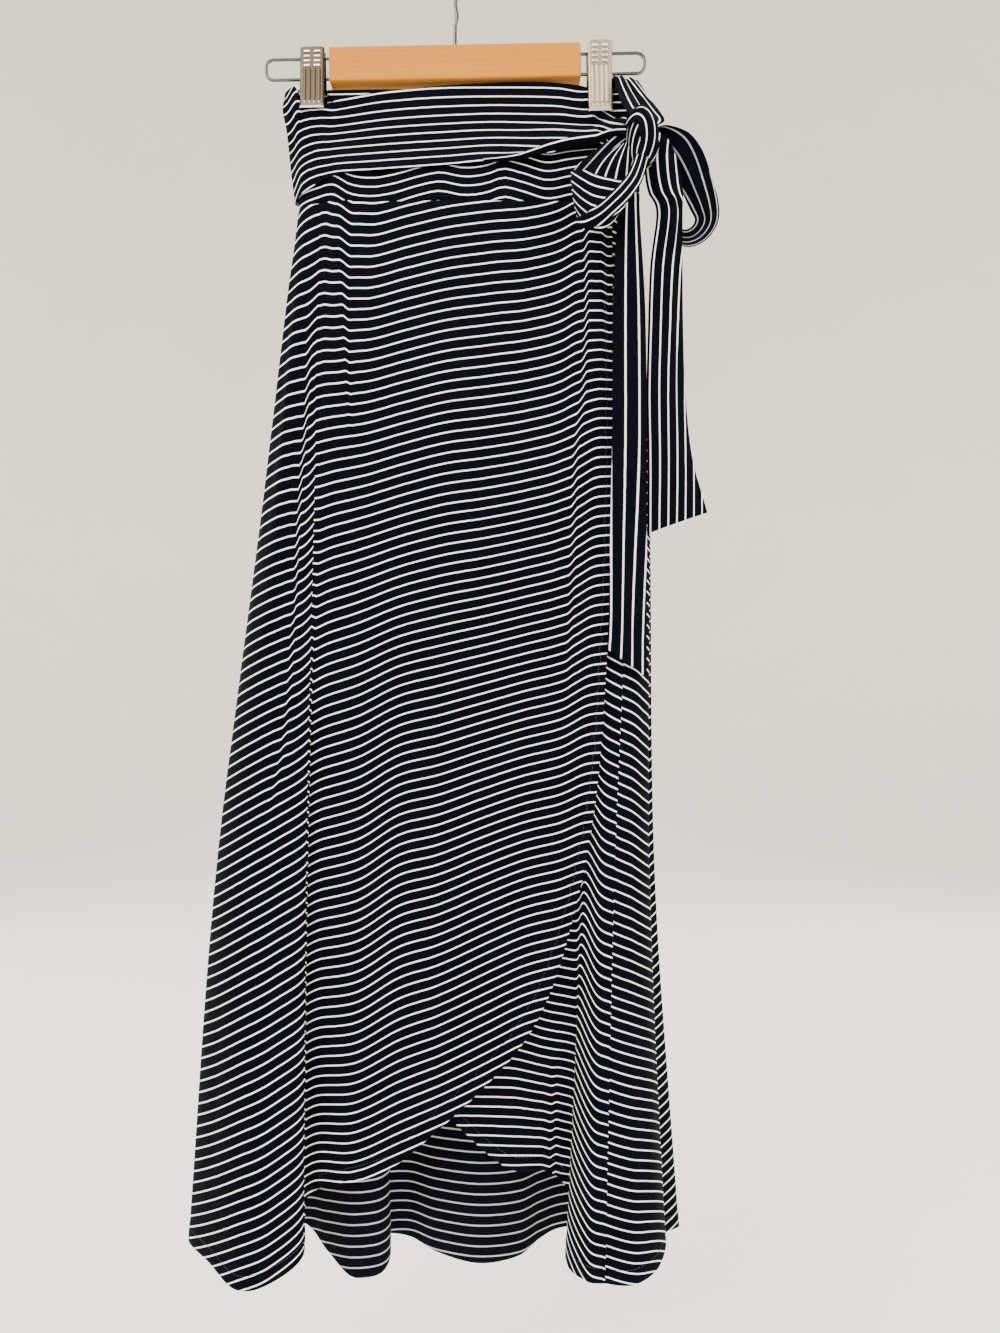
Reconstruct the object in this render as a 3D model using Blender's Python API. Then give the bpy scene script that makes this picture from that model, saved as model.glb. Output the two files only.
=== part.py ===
"""A wrap skirt in striped jersey that hangs from a wooden clip hanger.

The origin is the point of the rail under the top of the hanger's hook. X runs to the wearer's left as seen
from the front, Y to the back, Z up. Places in the tables are in millimetres.
"""

import math

import bmesh
import bpy
import numpy as np
from mathutils import Matrix

MM = 0.001

# Cloth walls
PANEL_WALL = 1.5
BAND_WALL = 1.2
SEAM_GAP = 0.4

# Heights of the waistband
WAIST_SEAM = -229.0
BAND_TOP = -124.0
CLIP_ZONE = -150.0  # down to here the layers lie flat together for the clips

# Places of the fold lines are given at these four levels: waist seam, hip, knee and hem
LEVELS = np.array([WAIST_SEAM, -470.0, -820.0, -1130.0])

# The wrap, one row for each fold line, in the order in which the cloth goes round from the hidden end
# of the under front. Columns: name, x at the four levels, y in the clips, y at the four levels, hem height.
FOLDS = (
    ("under edge", (-112, -108, -106, -104), 0.0, (-10, -19, -23.5, -12), -800),
    ("under left", (-80, -78, -76, -72), -0.8, (-12.5, -23, -26, -12), -935),
    ("under middle", (-30, -30, -30, -30), -1.5, (-13.5, -25, -28, -12), -990),
    ("under centre", (10, 10, 10, 10), -1.5, (-13.5, -25, -28, -11), -1034),
    ("under right", (45, 45, 48, 48), -1.5, (-13, -24, -28, -12), -1065),
    ("under panel end", (80, 84, 80, 84), -1.0, (-12.5, -22, -28, -13), -1067),
    ("recess", (112, 112, 104, 102), 0.0, (-12, -21, -28, -17), -1092),
    ("right fold edge", (126, 124, 112, 95), 0.0, (-11, -21, -30, -41), -1128),
    ("under strip", (137, 138, 124, 111), -0.3, (-9.5, -20, -34, -50), -1140),
    ("right seam", (145, 150, 136, 127), -0.8, (-8, -18, -36, -51), -1142),
    ("right lobe", (151.5, 158, 151, 150), -1.2, (-6, -15, -33, -54), -1141),
    ("right lobe side", (157, 164, 162, 171), -1.6, (-3.5, -9, -25, -40), -1137),
    ("right lobe edge", (161, 169.5, 169, 182), -1.0, (-0.5, -3, -14, -20), -1127),
    ("right notch", (162.5, 169, 168, 176), 1.2, (2.5, 2, -4, -3), -1131),
    ("right sliver", (161, 171, 177, 199), 3.0, (6, 7, 7, 14), -1131),
    ("back right corner", (152, 162, 164, 182), 3.6, (10.5, 13, 18, 33), -1140),
    ("back right", (132, 132, 134, 146), 1.6, (13, 18, 22, 47), -1150),
    ("back flute 1", (98, 98, 100, 100), 3.0, (14, 20, 24, 53), -1155),
    ("back side 1", (72, 72, 76, 77), 4.0, (14.5, 20, 22, 44), -1160),
    ("back ridge 1", (48, 50, 54, 56), 4.0, (15, 19, 20, 30), -1168),
    ("back centre", (20, 20, 20, 20), 4.0, (15, 20, 20, 26), -1172),
    ("back ridge 2", (-18, -18, -18, -18), 4.0, (15, 21, 24, 36), -1168),
    ("back flute 2", (-42, -43, -42, -44), 4.0, (14.5, 20, 26, 51), -1163),
    ("inner fold back", (-60, -60, -58, -66), 4.0, (14.5, 19.5, 26, 46), -1158),
    ("inner fold side", (-71, -70, -66, -60), 4.0, (14, 19, 23, 27), -1164),
    ("inner fold front", (-81, -80, -78, -68), 3.8, (14, 18, 20, 11), -1171),
    ("inner fold ridge", (-92, -92, -94, -92), 3.4, (13.5, 18, 19, 8), -1172),
    ("inner fold left", (-107, -110, -116, -116), 3.0, (13, 18, 22, 22), -1158),
    ("back left", (-120, -130, -142, -143), 2.8, (11, 18, 27, 40), -1142),
    ("back left corner", (-131, -150, -182, -192), 3.2, (7.5, 14, 25, 35), -1138),
    ("left silhouette", (-136.5, -164, -206, -227), 1.8, (3, 6, 11, 13), -1133),
    ("left turn", (-136.5, -166, -209, -231), -1.4, (-2, -4, -7, -9), -1131),
    ("left kink", (-133, -158, -195, -206), -3.0, (-6.5, -14, -27, -35), -1134),
    ("left ridge", (-128, -147, -173, -178), -2.8, (-9.5, -23, -42, -53), -1146),
    ("left valley", (-122.5, -134, -148, -150), -2.8, (-11, -21, -43, -54), -1140),
    ("left seam", (-116, -119, -124, -124), -2.8, (-13, -24, -36, -46), -1121),
    ("front tuck", (-110, -112, -128, -133), -2.8, (-15, -26, -27, -27), -1098),
    ("front ridge", (-99, -100, -114, -118), -3.2, (-18.5, -29, -27, -19), -1080),
    ("front valley", (-70, -76, -80, -88), -4.0, (-16, -27, -30, -18), -1075),
    ("front crease", (-38, -43, -46, -50), -4.5, (-17, -29, -33, -20), -1058),
    ("front middle", (-5, -8, -12, -12), -4.5, (-18, -30, -34, -24), -1025),
    ("front centre", (30, 28, 25, 25), -4.5, (-17.5, -30, -34, -28), -985),
    ("front right", (63, 62, 60, 60), -4.5, (-17, -29, -34, -30), -938),
    ("right valley", (90, 94, 88, 85), -3.6, (-16.5, -27, -34, -32), -900),
    ("right ridge", (117, 118, 108, 105), -1.6, (-19, -30, -34, -33), -825),
    ("wrap edge", (136, 136, 124, 122), -1.6, (-16.5, -28, -34, -33), -470),
)
FOLD_NAMES = [row[0] for row in FOLDS]
FOLD_X = np.array([row[1] for row in FOLDS], float)
CLIP_Y = np.array([row[2] for row in FOLDS], float)
FOLD_Y = np.array([row[3] for row in FOLDS], float)
HEM = np.array([row[4] for row in FOLDS], float)
RIGHT_SEAM = FOLD_NAMES.index("right seam")
LEFT_SEAM = FOLD_NAMES.index("left seam")
LAST_FOLD = len(FOLDS) - 1

# The free edge of the outer front: x and height of points from the waist to the left side. The under front
# is cut alike and turned over, so its hem heights above are the same curve mirrored about x = -4.
WRAP_EDGE = (
    (136, WAIST_SEAM),
    (136, -350),
    (136, -470),
    (130, -620),
    (123, -720),
    (113, -790),
    (98, -855),
    (79, -914),
    (54, -957),
    (14, -1000),
    (-18, -1030),
    (-54, -1061),
    (-92, -1076),
)

# The dip of the band's front at the left clip: x, height. It starts this many folds before the left seam, so
# that the back layer stays up.
BAND_DIP = ((-137, -135), (-125, -143), (-100, -136), (-75, -130), (0, BAND_TOP), (170, BAND_TOP))
DIP_LEAD = 3.5

# The tie over the band, one row for each station from the front right to the back right. Columns: position
# on the fold lines, heights of the upper and lower edge, and how far each edge stands out from the band.
SASH_ON_BAND = (
    (44.5, -136, -183, 1.8, 10.0),
    (44.0, -124, -184, 1.7, 9.0),
    (43.0, -121, -188, 2.0, 8.0),
    (42.0, -120.5, -192, 2.0, 6.0),
    (41.0, -121.5, -196, 2.0, 4.5),
    (40.0, -123.5, -199, 2.0, 3.5),
    (39.0, -126.5, -201, 2.0, 3.2),
    (38.0, -130, -203, 2.5, 3.0),
    (37.0, -136, -207, 3.5, 3.0),
    (35.4, -141, -211, 5.0, 3.0),
    (34.0, -143, -215, 5.6, 3.0),
    (32.6, -141, -219, 5.2, 3.0),
    (31.5, -132, -222, 7.0, 3.2),
    (30.6, -122, -224, 11.0, 3.4),
    (29.9, -120, -223, 4.4, 3.2),
    (29.2, -122, -221, 2.4, 3.0),
    (28.4, -122.5, -219, 2.0, 3.0),
    (27.3, -122, -216, 2.0, 3.0),
    (26.0, -123, -211, 2.0, 3.0),
    (23.0, -123, -207, 2.0, 3.0),
    (21.0, -122, -206, 2.0, 3.0),
    (19.0, -121, -204, 2.0, 3.0),
    (17.6, -121, -201, 2.0, 3.2),
    (16.6, -122, -196, 1.8, 3.6),
    (16.0, -122, -190, 1.7, 4.0),
)
# Its front end, gathered into the knot, and its back end, over the top edge and down into the knot.
# Columns: upper edge x, y, z and lower edge x, y, z.
SASH_FRONT_END = (
    (153, -34, -170, 153, -36, -183),
    (147, -24, -161, 145, -31, -182),
    (139, -5.5, -151, 133, -27, -182),
)
SASH_BACK_END = (
    (138.5, 3.4, -121, 151, 13, -178),
    (139, 3.2, -115.5, 161, 13.5, -140),
    (139, -1.0, -114, 159, 5, -117),
    (139, -9, -117, 160, -7, -120),
    (140, -15, -129, 168, -17, -140),
    (144, -25, -150, 176, -26, -157),
    (149, -30, -160, 179, -30, -167),
    (154, -34, -170, 170, -35.5, -175),
)
SASH_RAILS = (0.0, 0.28, 0.62, 1.0)  # fractions of its width that carry the shape

# The knot: middle and half sizes
KNOT_MIDDLE = (159.5, -37.0, -187.0)
KNOT_HALF = (14.5, 13.0, 26.0)
KNOT_GAP = 0.3
KNOT_RIDGES = 3  # soft ridges of the strap round the knot
KNOT_RIDGE_RISE = 0.05  # of the half sizes
KNOT_RIDGE_TWIST = 1.2  # radians from the top to the middle

# Bow loops, a row for each station of the ribbon from the knot round and back to it. Columns: middle of the
# ribbon x, y, z, half its width, and the direction of its width x, y, z. Its middle stands out by the crown.
LOOP_CROWN = 1.5
LOOP_LEFT = (
    (156, -38, -184, 8, 0.1, 0.2, 1.0),
    (145, -36, -188, 9, 0.1, 0.1, 1.0),
    (129, -33, -202, 17, 0.1, 0.15, 1.0),
    (113, -33, -220, 22, 0.0, 0.15, 1.0),
    (103.5, -38, -232, 21, -0.1, 0.15, 1.0),
    (102.5, -48, -238, 21, -0.1, 0.1, 1.0),
    (109, -57, -245, 22, 0.0, 0.0, 1.0),
    (122, -60, -251, 22, 0.1, 0.0, 1.0),
    (136, -57, -249, 19, 0.3, 0.0, 1.0),
    (147, -51, -236, 13, 0.4, 0.0, 1.0),
    (154, -45, -216, 9, 0.4, 0.0, 1.0),
    (160, -42, -200, 8, 0.4, 0.0, 1.0),
)
LOOP_RIGHT = (
    (163, -31, -180, 8, -0.2, 0.8, 0.4),
    (176, -28.5, -176, 8.5, -0.35, 0.9, -0.2),
    (191.5, -27, -186, 13, -0.5, 0.8, -0.45),
    (201, -24, -199.5, 15, -0.6, 0.7, -0.4),
    (208.5, -22, -217, 15, -0.65, 0.75, -0.2),
    (215.5, -20, -235, 14, -0.65, 0.7, 0.05),
    (217.5, -18, -246, 13, -0.6, 0.65, 0.4),
    (213.5, -15, -254, 12, -0.4, 0.55, 0.7),
    (206, -12.5, -258.5, 11.5, -0.1, 0.5, 0.85),
    (197.5, -10.5, -257.5, 11, 0.2, 0.5, 0.8),
    (190, -9.5, -248, 10.5, 0.5, 0.65, 0.5),
    (187, -11, -231, 10, 0.55, 0.7, 0.25),
    (182.5, -15, -210, 9, 0.45, 0.8, 0.2),
    (172, -22, -196, 8, 0.1, 0.9, 0.4),
    (163, -29, -188, 7, 0.1, 0.8, 0.5),
)

# Hanging ends, a row for each height. Columns: left edge x, y, z, right edge x, y, z, and how far the
# middle bulges forwards.
TAIL_LONG = (
    (151, -37, -196, 161, -37, -196, 1.0),
    (145, -39, -216, 156, -38, -216, 2.5),
    (139, -39, -250, 157.5, -36, -250, 3.5),
    (135, -38, -330, 162.5, -33, -330, 4.0),
    (134.5, -37, -430, 164, -31, -430, 4.0),
    (133, -37, -520, 164, -31, -520, 4.0),
    (131.5, -38, -590, 164, -31, -600, 4.0),
    (130, -38, -616, 164, -31, -640, 4.0),
)
TAIL_SHORT = (
    (164, -38, -182, 172, -38, -180, 0.5),
    (163, -37, -191, 183, -36, -188, 2.0),
    (162, -33, -200, 188, -31, -196, 4.0),
    (163, -31, -214, 193, -29, -212, 5.0),
    (166, -30, -228, 195.5, -27, -227, 5.0),
    (173, -29, -245, 195.5, -25, -245, 5.0),
    (168, -28, -290, 196, -22, -290, 5.0),
    (166, -27, -350, 197, -20, -348, 5.0),
    (165, -27, -400, 199, -19, -395, 5.0),
    (166, -26, -460, 205, -18, -450, 5.0),
    (166, -25, -517, 218, -18, -498, 4.0),
)

# Hanger
BAR_SIZE = (220.0, 17.0, 30.0)
BAR_MIDDLE = -103.0
BAR_ROUNDING = 1.6
BAR_TIP = 1.07  # degrees by which the bar hangs higher on the right
WIRE_RADIUS = 1.5
WIRE_SPACING = 18.0
WIRE_REACH = 166.5
WIRE_CORNER = 7.0
BORE_DEPTH = 24.0
BORE_GAP = 0.3  # round each wire and past its end
CUTTER_SIDES = 14
HOOK_RADIUS = 1.7
HOOK_BEND = 19.0
HOOK_ARC = (-40, 201, 16)  # first and last angle from +X and the step, in degrees
HOOK_STEPS = 36
# The hook's shank above the bar, with its small offset: x, z
HOOK_SHANK = ((0, -76), (0.3, -68), (1.6, -62), (1.6, -57), (0.4, -51), (1.0, -45), (6, -38.5))
CLIP_WIDTH = 20.5
CLIP_SHEET = 0.9
CHEEK_DEPTH = 2.4
CHEEK_FROM, CHEEK_TO = 4.0, 31.0  # below the plate's top
LIP = ((6.0, 0.0), (1.5, 0.2), (0.0, 1.6))  # height above the foot, how far it turns out
SPRING_LENGTH = 17.0
SPRING_SIDES = 16
CLIP_LEFT_X = -125.0
CLIP_RIGHT_X = 126.5
# Plates before the bar is tipped: x, side (-1 is the front), y of the inner face at foot and top, z of both
CLIP_PLATES = {
    "clip_left_front": (CLIP_LEFT_X, -1, -11.4, -3.4, -144, -85.5),
    "clip_left_back": (CLIP_LEFT_X, 1, 8.0, 5.0, -144, -85.5),
    "clip_right_front": (CLIP_RIGHT_X, -1, -6.0, -9.0, -148.5, -87.5),
    "clip_right_back": (CLIP_RIGHT_X, 1, 6.2, 9.2, -148.5, -87.5),
}
SPRINGS = {"clip_left_spring": (CLIP_LEFT_X, 6.0), "clip_right_spring": (CLIP_RIGHT_X, 6.4)}  # x, radius

# Rows and columns of the grids from which the cloth is made
OUTER_GRID = (25, 21)
UNDER_GRID = (14, 21)
BACK_GRID = (16, 53)
BAND_COLUMNS = 64
BAND_ROWS = (0.0, 0.25, 0.5, 0.78, 1.0)
SASH_GRID = (6, 52)
LOOP_GRID = (5, 36)
TAIL_GRID = (7, 22)
KNOT_GRID = (13, 20)
CURVE_SAMPLES = 400  # along a curve before even steps are read from it
FOLD_WIDTH = 12.0  # mean distance of two fold lines, so that steps along the edge are even in millimetres
SEAM_HALF_GAP = 0.015  # of a fold interval, which parts two panels by about 0.3 mm
NORMAL_STEP = (0.02, 0.5)  # in folds and in height, for the surface's normal
SHARP_ANGLE = 50  # degrees

# Colours
NAVY = (0.006, 0.008, 0.025)
WOOD = (0.62, 0.33, 0.12)
CHROME = (0.72, 0.72, 0.72)
NICKEL = (0.50, 0.48, 0.44)


def clear_scene():
    for thing in list(bpy.data.objects):
        bpy.data.objects.remove(thing)


def material(name, colour, roughness, metallic=0.0):
    made = bpy.data.materials.get(name) or bpy.data.materials.new(name)
    made.use_nodes = True
    shader = made.node_tree.nodes["Principled BSDF"]
    shader.inputs["Base Color"].default_value = (*colour, 1.0)
    shader.inputs["Roughness"].default_value = roughness
    shader.inputs["Metallic"].default_value = metallic
    return made


def smooth(knots, values, at):
    """Cubic curve through values at knots, slopes taken from both neighbours; values may be whole rows."""
    knots = np.asarray(knots, float)
    values = np.asarray(values, float)
    at = np.asarray(at, float)
    slopes = np.gradient(values, knots, axis=0)
    span = np.clip(np.searchsorted(knots, at, side="right") - 1, 0, len(knots) - 2)
    width = knots[span + 1] - knots[span]
    t = (at - knots[span]) / width
    extra = (slice(None),) * at.ndim + (None,) * (values.ndim - 1)
    t, width = t[extra], width[extra]
    return (
        (2 * t**3 - 3 * t**2 + 1) * values[span]
        + (t**3 - 2 * t**2 + t) * width * slopes[span]
        + (3 * t**2 - 2 * t**3) * values[span + 1]
        + (t**3 - t**2) * width * slopes[span + 1]
    )


def down(columns, z):
    """The same kind of cubic between the four levels, for a column of four values at each point."""
    slopes = np.gradient(columns, LEVELS, axis=-1)
    rising = LEVELS[::-1]
    span = 3 - np.clip(np.searchsorted(rising, z, side="left"), 1, 3)
    width = LEVELS[span + 1] - LEVELS[span]
    t = (z - LEVELS[span]) / width

    def pick(array, step):
        return np.take_along_axis(array, (span + step)[..., None], axis=-1)[..., 0]

    return (
        (2 * t**3 - 3 * t**2 + 1) * pick(columns, 0)
        + (t**3 - 2 * t**2 + t) * width * pick(slopes, 0)
        + (3 * t**2 - 2 * t**3) * pick(columns, 1)
        + (t**3 - t**2) * width * pick(slopes, 1)
    )


def panel_point(fold, z):
    """A point of the skirt's cloth at a position on the fold lines and a height."""
    order = np.arange(len(FOLDS))
    x = down(smooth(order, FOLD_X, fold), z)
    y = down(smooth(order, FOLD_Y, fold), z)
    return np.stack([x, y, z], axis=-1)


def band_point(fold, z):
    """A point of the waistband: flat together in the clips, as far apart as the skirt at the waist seam."""
    order = np.arange(len(FOLDS))
    x = smooth(order, FOLD_X[:, 0], fold)
    y_clip = smooth(order, CLIP_Y, fold)
    y_seam = smooth(order, FOLD_Y[:, 0], fold)
    share = np.clip((CLIP_ZONE - z) / (CLIP_ZONE - WAIST_SEAM), 0, 1)
    share = share * share * (3 - 2 * share)
    return np.stack([x, y_clip + (y_seam - y_clip) * share, z], axis=-1)


def outward(surface, fold, z):
    """The surface's unit normal, away from the hollow, from small steps along the folds and in height."""
    step_fold, step_z = NORMAL_STEP
    along = surface(fold + step_fold, z) - surface(fold - step_fold, z)
    rise = surface(fold, z + step_z) - surface(fold, z - step_z)
    normal = np.cross(along, rise)
    return normal / np.linalg.norm(normal, axis=-1, keepdims=True)


def grid_normals(points):
    """Unit normals of a grid of points from the steps along its two directions."""
    along = np.gradient(points, axis=1)
    across = np.gradient(points, axis=0)
    normal = np.cross(along, across)
    return normal / np.linalg.norm(normal, axis=-1, keepdims=True)


def add_mesh(name, points, faces, finish):
    mesh = bpy.data.meshes.new(name)
    mesh.from_pydata([tuple(p) for p in np.asarray(points) * MM], [], faces)
    mesh.materials.append(finish)
    made = bpy.data.objects.new(name, mesh)
    bpy.context.scene.collection.objects.link(made)
    edit = bmesh.new()
    edit.from_mesh(mesh)
    if edit.calc_volume(signed=True) < 0:
        bmesh.ops.reverse_faces(edit, faces=edit.faces)
    edit.to_mesh(mesh)
    edit.free()
    mesh.shade_smooth()
    mesh.set_sharp_from_angle(angle=math.radians(SHARP_ANGLE))
    return made


def wall(name, points, normals, thickness, finish):
    """Cloth of one thickness: the grid moved half of it out and half of it in, and a rim between the two."""
    rows, columns = points.shape[:2]
    outer = points + normals * thickness / 2
    inner = points - normals * thickness / 2
    both = np.concatenate([outer.reshape(-1, 3), inner.reshape(-1, 3)])
    count = rows * columns
    number = np.arange(count).reshape(rows, columns)
    faces = []
    for r in range(rows - 1):
        for c in range(columns - 1):
            quad = (number[r, c], number[r, c + 1], number[r + 1, c + 1], number[r + 1, c])
            faces.append(quad)
            faces.append(tuple(i + count for i in reversed(quad)))
    rim = [*number[0, :], *number[1:, -1], *number[-1, -2::-1], *number[-2:0:-1, 0]]
    for here, following in zip(rim, rim[1:] + rim[:1]):
        faces.append((following, here, here + count, following + count))
    return add_mesh(name, both, [tuple(int(i) for i in face) for face in faces], finish)


def even_steps(curve, count):
    """Points at even distances along a polyline."""
    lengths = np.linalg.norm(np.diff(curve, axis=0), axis=1)
    walked = np.concatenate([[0.0], np.cumsum(lengths)])
    at = np.linspace(0.0, walked[-1], count)
    return np.stack([np.interp(at, walked, curve[:, i]) for i in range(curve.shape[1])], axis=1)


def along_rows(table, steps):
    """The rows of a table as smooth curves, read off at even steps of the row number."""
    last = len(table) - 1
    return smooth(np.arange(last + 1), np.array(table, float), np.linspace(0, last, steps))


def edge_fold(x, z, first, last):
    """Position on the fold lines, between first and last, at which the cloth crosses x at height z."""
    folds = np.linspace(first, last, CURVE_SAMPLES)
    places = panel_point(folds, np.full_like(folds, z))[:, 0]
    return folds[np.argmin(np.abs(places - x))]


def hanging_panel(name, first, last, grid, finish):
    """A panel whose grid columns follow the fold lines from the waist seam down to the hem."""
    rows, columns = grid
    fold = np.linspace(first, last, columns)[None, :]
    hem = smooth(np.arange(len(FOLDS)), HEM, fold[0])[None, :]
    share = np.linspace(0, 1, rows)[:, None]
    top = WAIST_SEAM - SEAM_GAP / 2
    z = top + (hem - top) * share
    fold = np.repeat(fold, rows, axis=0)
    wall(name, panel_point(fold, z), outward(panel_point, fold, z), PANEL_WALL, finish)


def wrapped_panel(name, seam, edge, grid, finish):
    """The outer front: each row of its grid runs level from the side seam to the free edge."""
    rows, columns = grid
    crossings = [(edge_fold(x, z, LEFT_SEAM + 2.0, LAST_FOLD), z) for x, z in edge]
    crossings += [(fold, HEM[fold]) for fold in (LEFT_SEAM + 2, LEFT_SEAM + 1, LEFT_SEAM)]
    knots = np.arange(len(crossings))
    fine = smooth(knots, np.array(crossings), np.linspace(0, knots[-1], CURVE_SAMPLES))
    fine[:, 1] = np.minimum.accumulate(fine[:, 1])
    ends = even_steps(fine * (FOLD_WIDTH, 1.0), rows) / (FOLD_WIDTH, 1.0)
    ends[0, 1] = WAIST_SEAM - SEAM_GAP / 2
    share = np.linspace(0, 1, columns)
    fold = seam + (ends[:, :1] - seam) * share
    z = np.repeat(ends[:, 1:], columns, axis=1)
    wall(name, panel_point(fold, z), outward(panel_point, fold, z), PANEL_WALL, finish)


def build_skirt(finish):
    wrapped_panel("outer_front", LEFT_SEAM + SEAM_HALF_GAP, WRAP_EDGE, OUTER_GRID, finish)
    hanging_panel("under_front", 0, RIGHT_SEAM - SEAM_HALF_GAP, UNDER_GRID, finish)
    hanging_panel("back_panel", RIGHT_SEAM + SEAM_HALF_GAP, LEFT_SEAM - SEAM_HALF_GAP, BACK_GRID, finish)


def band_top(fold):
    """Height of the band's upper edge, which dips at the left clip on the outer layer only."""
    x = band_point(fold, np.full_like(fold, WAIST_SEAM))[:, 0]
    knots, heights = zip(*BAND_DIP)
    dipped = np.interp(x, knots, heights)
    return np.where(fold > LEFT_SEAM - DIP_LEAD, dipped, BAND_TOP)


def build_waistband(finish):
    fold = np.linspace(0, LAST_FOLD, BAND_COLUMNS)
    share = np.array(BAND_ROWS)[:, None]
    bottom = WAIST_SEAM + SEAM_GAP / 2
    z = bottom + (band_top(fold)[None, :] - bottom) * share
    fold = np.repeat(fold[None, :], len(share), axis=0)
    wall("waistband", band_point(fold, z), outward(band_point, fold, z), BAND_WALL, finish)


def sash_stations():
    """Points of the tie on its rails, an array of stations by rails by three."""
    rails = np.array(SASH_RAILS)

    def straight(row):
        upper, lower = np.array(row[:3]), np.array(row[3:])
        return upper + (lower - upper) * rails[:, None]

    stations = [straight(row) for row in SASH_FRONT_END]
    for fold, z_upper, z_lower, out_upper, out_lower in SASH_ON_BAND:
        z = z_upper + (z_lower - z_upper) * rails
        out = out_upper + (out_lower - out_upper) * rails**2
        at = np.full_like(z, fold)
        stations.append(band_point(at, z) + outward(band_point, at, z) * out[:, None])
    stations += [straight(row) for row in SASH_BACK_END]
    return np.array(stations)


def cut_for_knot(strip, cutter):
    trim = strip.modifiers.new("knot", "BOOLEAN")
    trim.operation = "DIFFERENCE"
    trim.solver = "EXACT"
    trim.object = cutter


def build_sash(finish, cutter):
    rows, columns = SASH_GRID
    lengthwise = along_rows(sash_stations(), columns)
    across = smooth(SASH_RAILS, lengthwise.transpose(1, 0, 2), np.linspace(0, 1, rows))
    strip = wall("sash_wrap", across, grid_normals(across), BAND_WALL, finish)
    cut_for_knot(strip, cutter)


def knot_shape(name, grow, finish):
    """A rounded knot with the broad ridges of the strap that crosses it, grown outwards by the given size."""
    rings, sides = KNOT_GRID
    points, faces = [], []
    for ring in range(1, rings):
        polar = math.pi * ring / rings
        for side in range(sides):
            turn = 2 * math.pi * side / sides
            phase = KNOT_RIDGES * turn + KNOT_RIDGE_TWIST * math.cos(polar)
            ridge = 1 + KNOT_RIDGE_RISE * math.cos(phase) * math.sin(polar)
            direction = (
                math.sin(polar) * math.cos(turn) * ridge,
                math.sin(polar) * math.sin(turn) * ridge,
                math.cos(polar),
            )
            points.append([m + (h + grow) * d for m, h, d in zip(KNOT_MIDDLE, KNOT_HALF, direction)])
    for ring in range(rings - 2):
        for side in range(sides):
            after = (side + 1) % sides
            start, below = ring * sides, (ring + 1) * sides
            faces.append((start + side, below + side, below + after, start + after))
    for pole, ring, turn_round in ((1, 0, False), (-1, rings - 2, True)):
        points.append([m + (h + grow) * d for m, h, d in zip(KNOT_MIDDLE, KNOT_HALF, (0, 0, pole))])
        apex = len(points) - 1
        for side in range(sides):
            pair = (ring * sides + side, ring * sides + (side + 1) % sides)
            faces.append((apex, *reversed(pair)) if turn_round else (apex, *pair))
    return add_mesh(name, points, faces, finish)


def ribbon(name, stations, finish, cutter):
    """A bow loop: a flat ribbon whose middle line and direction of width are given at each station."""
    rows, columns = LOOP_GRID
    table = along_rows(stations, columns)
    middle, half, width = table[:, :3], table[:, 3], table[:, 4:]
    width = width / np.linalg.norm(width, axis=1, keepdims=True)
    share = np.linspace(-1, 1, rows)[:, None, None]
    points = middle[None] + width[None] * half[None, :, None] * share
    crown = LOOP_CROWN * (1 - share**2)
    points = points + grid_normals(points) * crown
    strip = wall(name, points, grid_normals(points), BAND_WALL, finish)
    cut_for_knot(strip, cutter)


def tail(name, stations, finish, cutter):
    """A hanging end: a strip whose edges turn back and whose middle bulges forwards."""
    rows, columns = TAIL_GRID
    table = along_rows(stations, columns)
    left, right, bulge = table[:, :3], table[:, 3:6], table[:, 6]
    share = np.linspace(0, 1, rows)[:, None, None]
    points = left[None] + (right - left)[None] * share
    points[..., 1] -= bulge[None] * (1 - (2 * share[..., 0] - 1) ** 2)
    strip = wall(name, points, grid_normals(points), BAND_WALL, finish)
    cut_for_knot(strip, cutter)


def tube(name, route, radius, finish):
    """A round wire along a route, as a curve with a bevel and filled caps."""
    curve = bpy.data.curves.new(name, "CURVE")
    curve.dimensions = "3D"
    curve.bevel_depth = radius * MM
    curve.bevel_resolution = 2
    curve.use_fill_caps = True
    spline = curve.splines.new("POLY")
    spline.points.add(len(route) - 1)
    for point, place in zip(spline.points, route):
        point.co = (*(c * MM for c in place), 1.0)
    curve.materials.append(finish)
    made = bpy.data.objects.new(name, curve)
    bpy.context.scene.collection.objects.link(made)
    return made


def tip(thing):
    """Turn a part of the hanger with the bar, about the foot of the hook."""
    pivot = Matrix.Translation((0, 0, (BAR_MIDDLE + BAR_SIZE[2] / 2) * MM))
    thing.matrix_world = pivot @ Matrix.Rotation(-math.radians(BAR_TIP), 4, "Y") @ pivot.inverted()


def cylinder_along_x(name, radius, length, x, z, sides, finish):
    mesh = bpy.data.meshes.new(name)
    edit = bmesh.new()
    bmesh.ops.create_cone(
        edit,
        cap_ends=True,
        segments=sides,
        radius1=radius * MM,
        radius2=radius * MM,
        depth=length * MM,
        matrix=Matrix.Translation((x * MM, 0, z * MM)) @ Matrix.Rotation(math.radians(90), 4, "Y"),
    )
    edit.to_mesh(mesh)
    edit.free()
    mesh.materials.append(finish)
    made = bpy.data.objects.new(name, mesh)
    bpy.context.scene.collection.objects.link(made)
    tip(made)
    return made


def hide_cutter(cutter):
    cutter.hide_render = True
    cutter.display_type = "WIRE"


def bore(target, radius, length, x, z, label):
    cutter = cylinder_along_x(f"{label}_cutter", radius, length, x, z, CUTTER_SIDES, target.data.materials[0])
    hide_cutter(cutter)
    cut = target.modifiers.new(label, "BOOLEAN")
    cut.operation = "DIFFERENCE"
    cut.solver = "EXACT"
    cut.object = cutter


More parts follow.
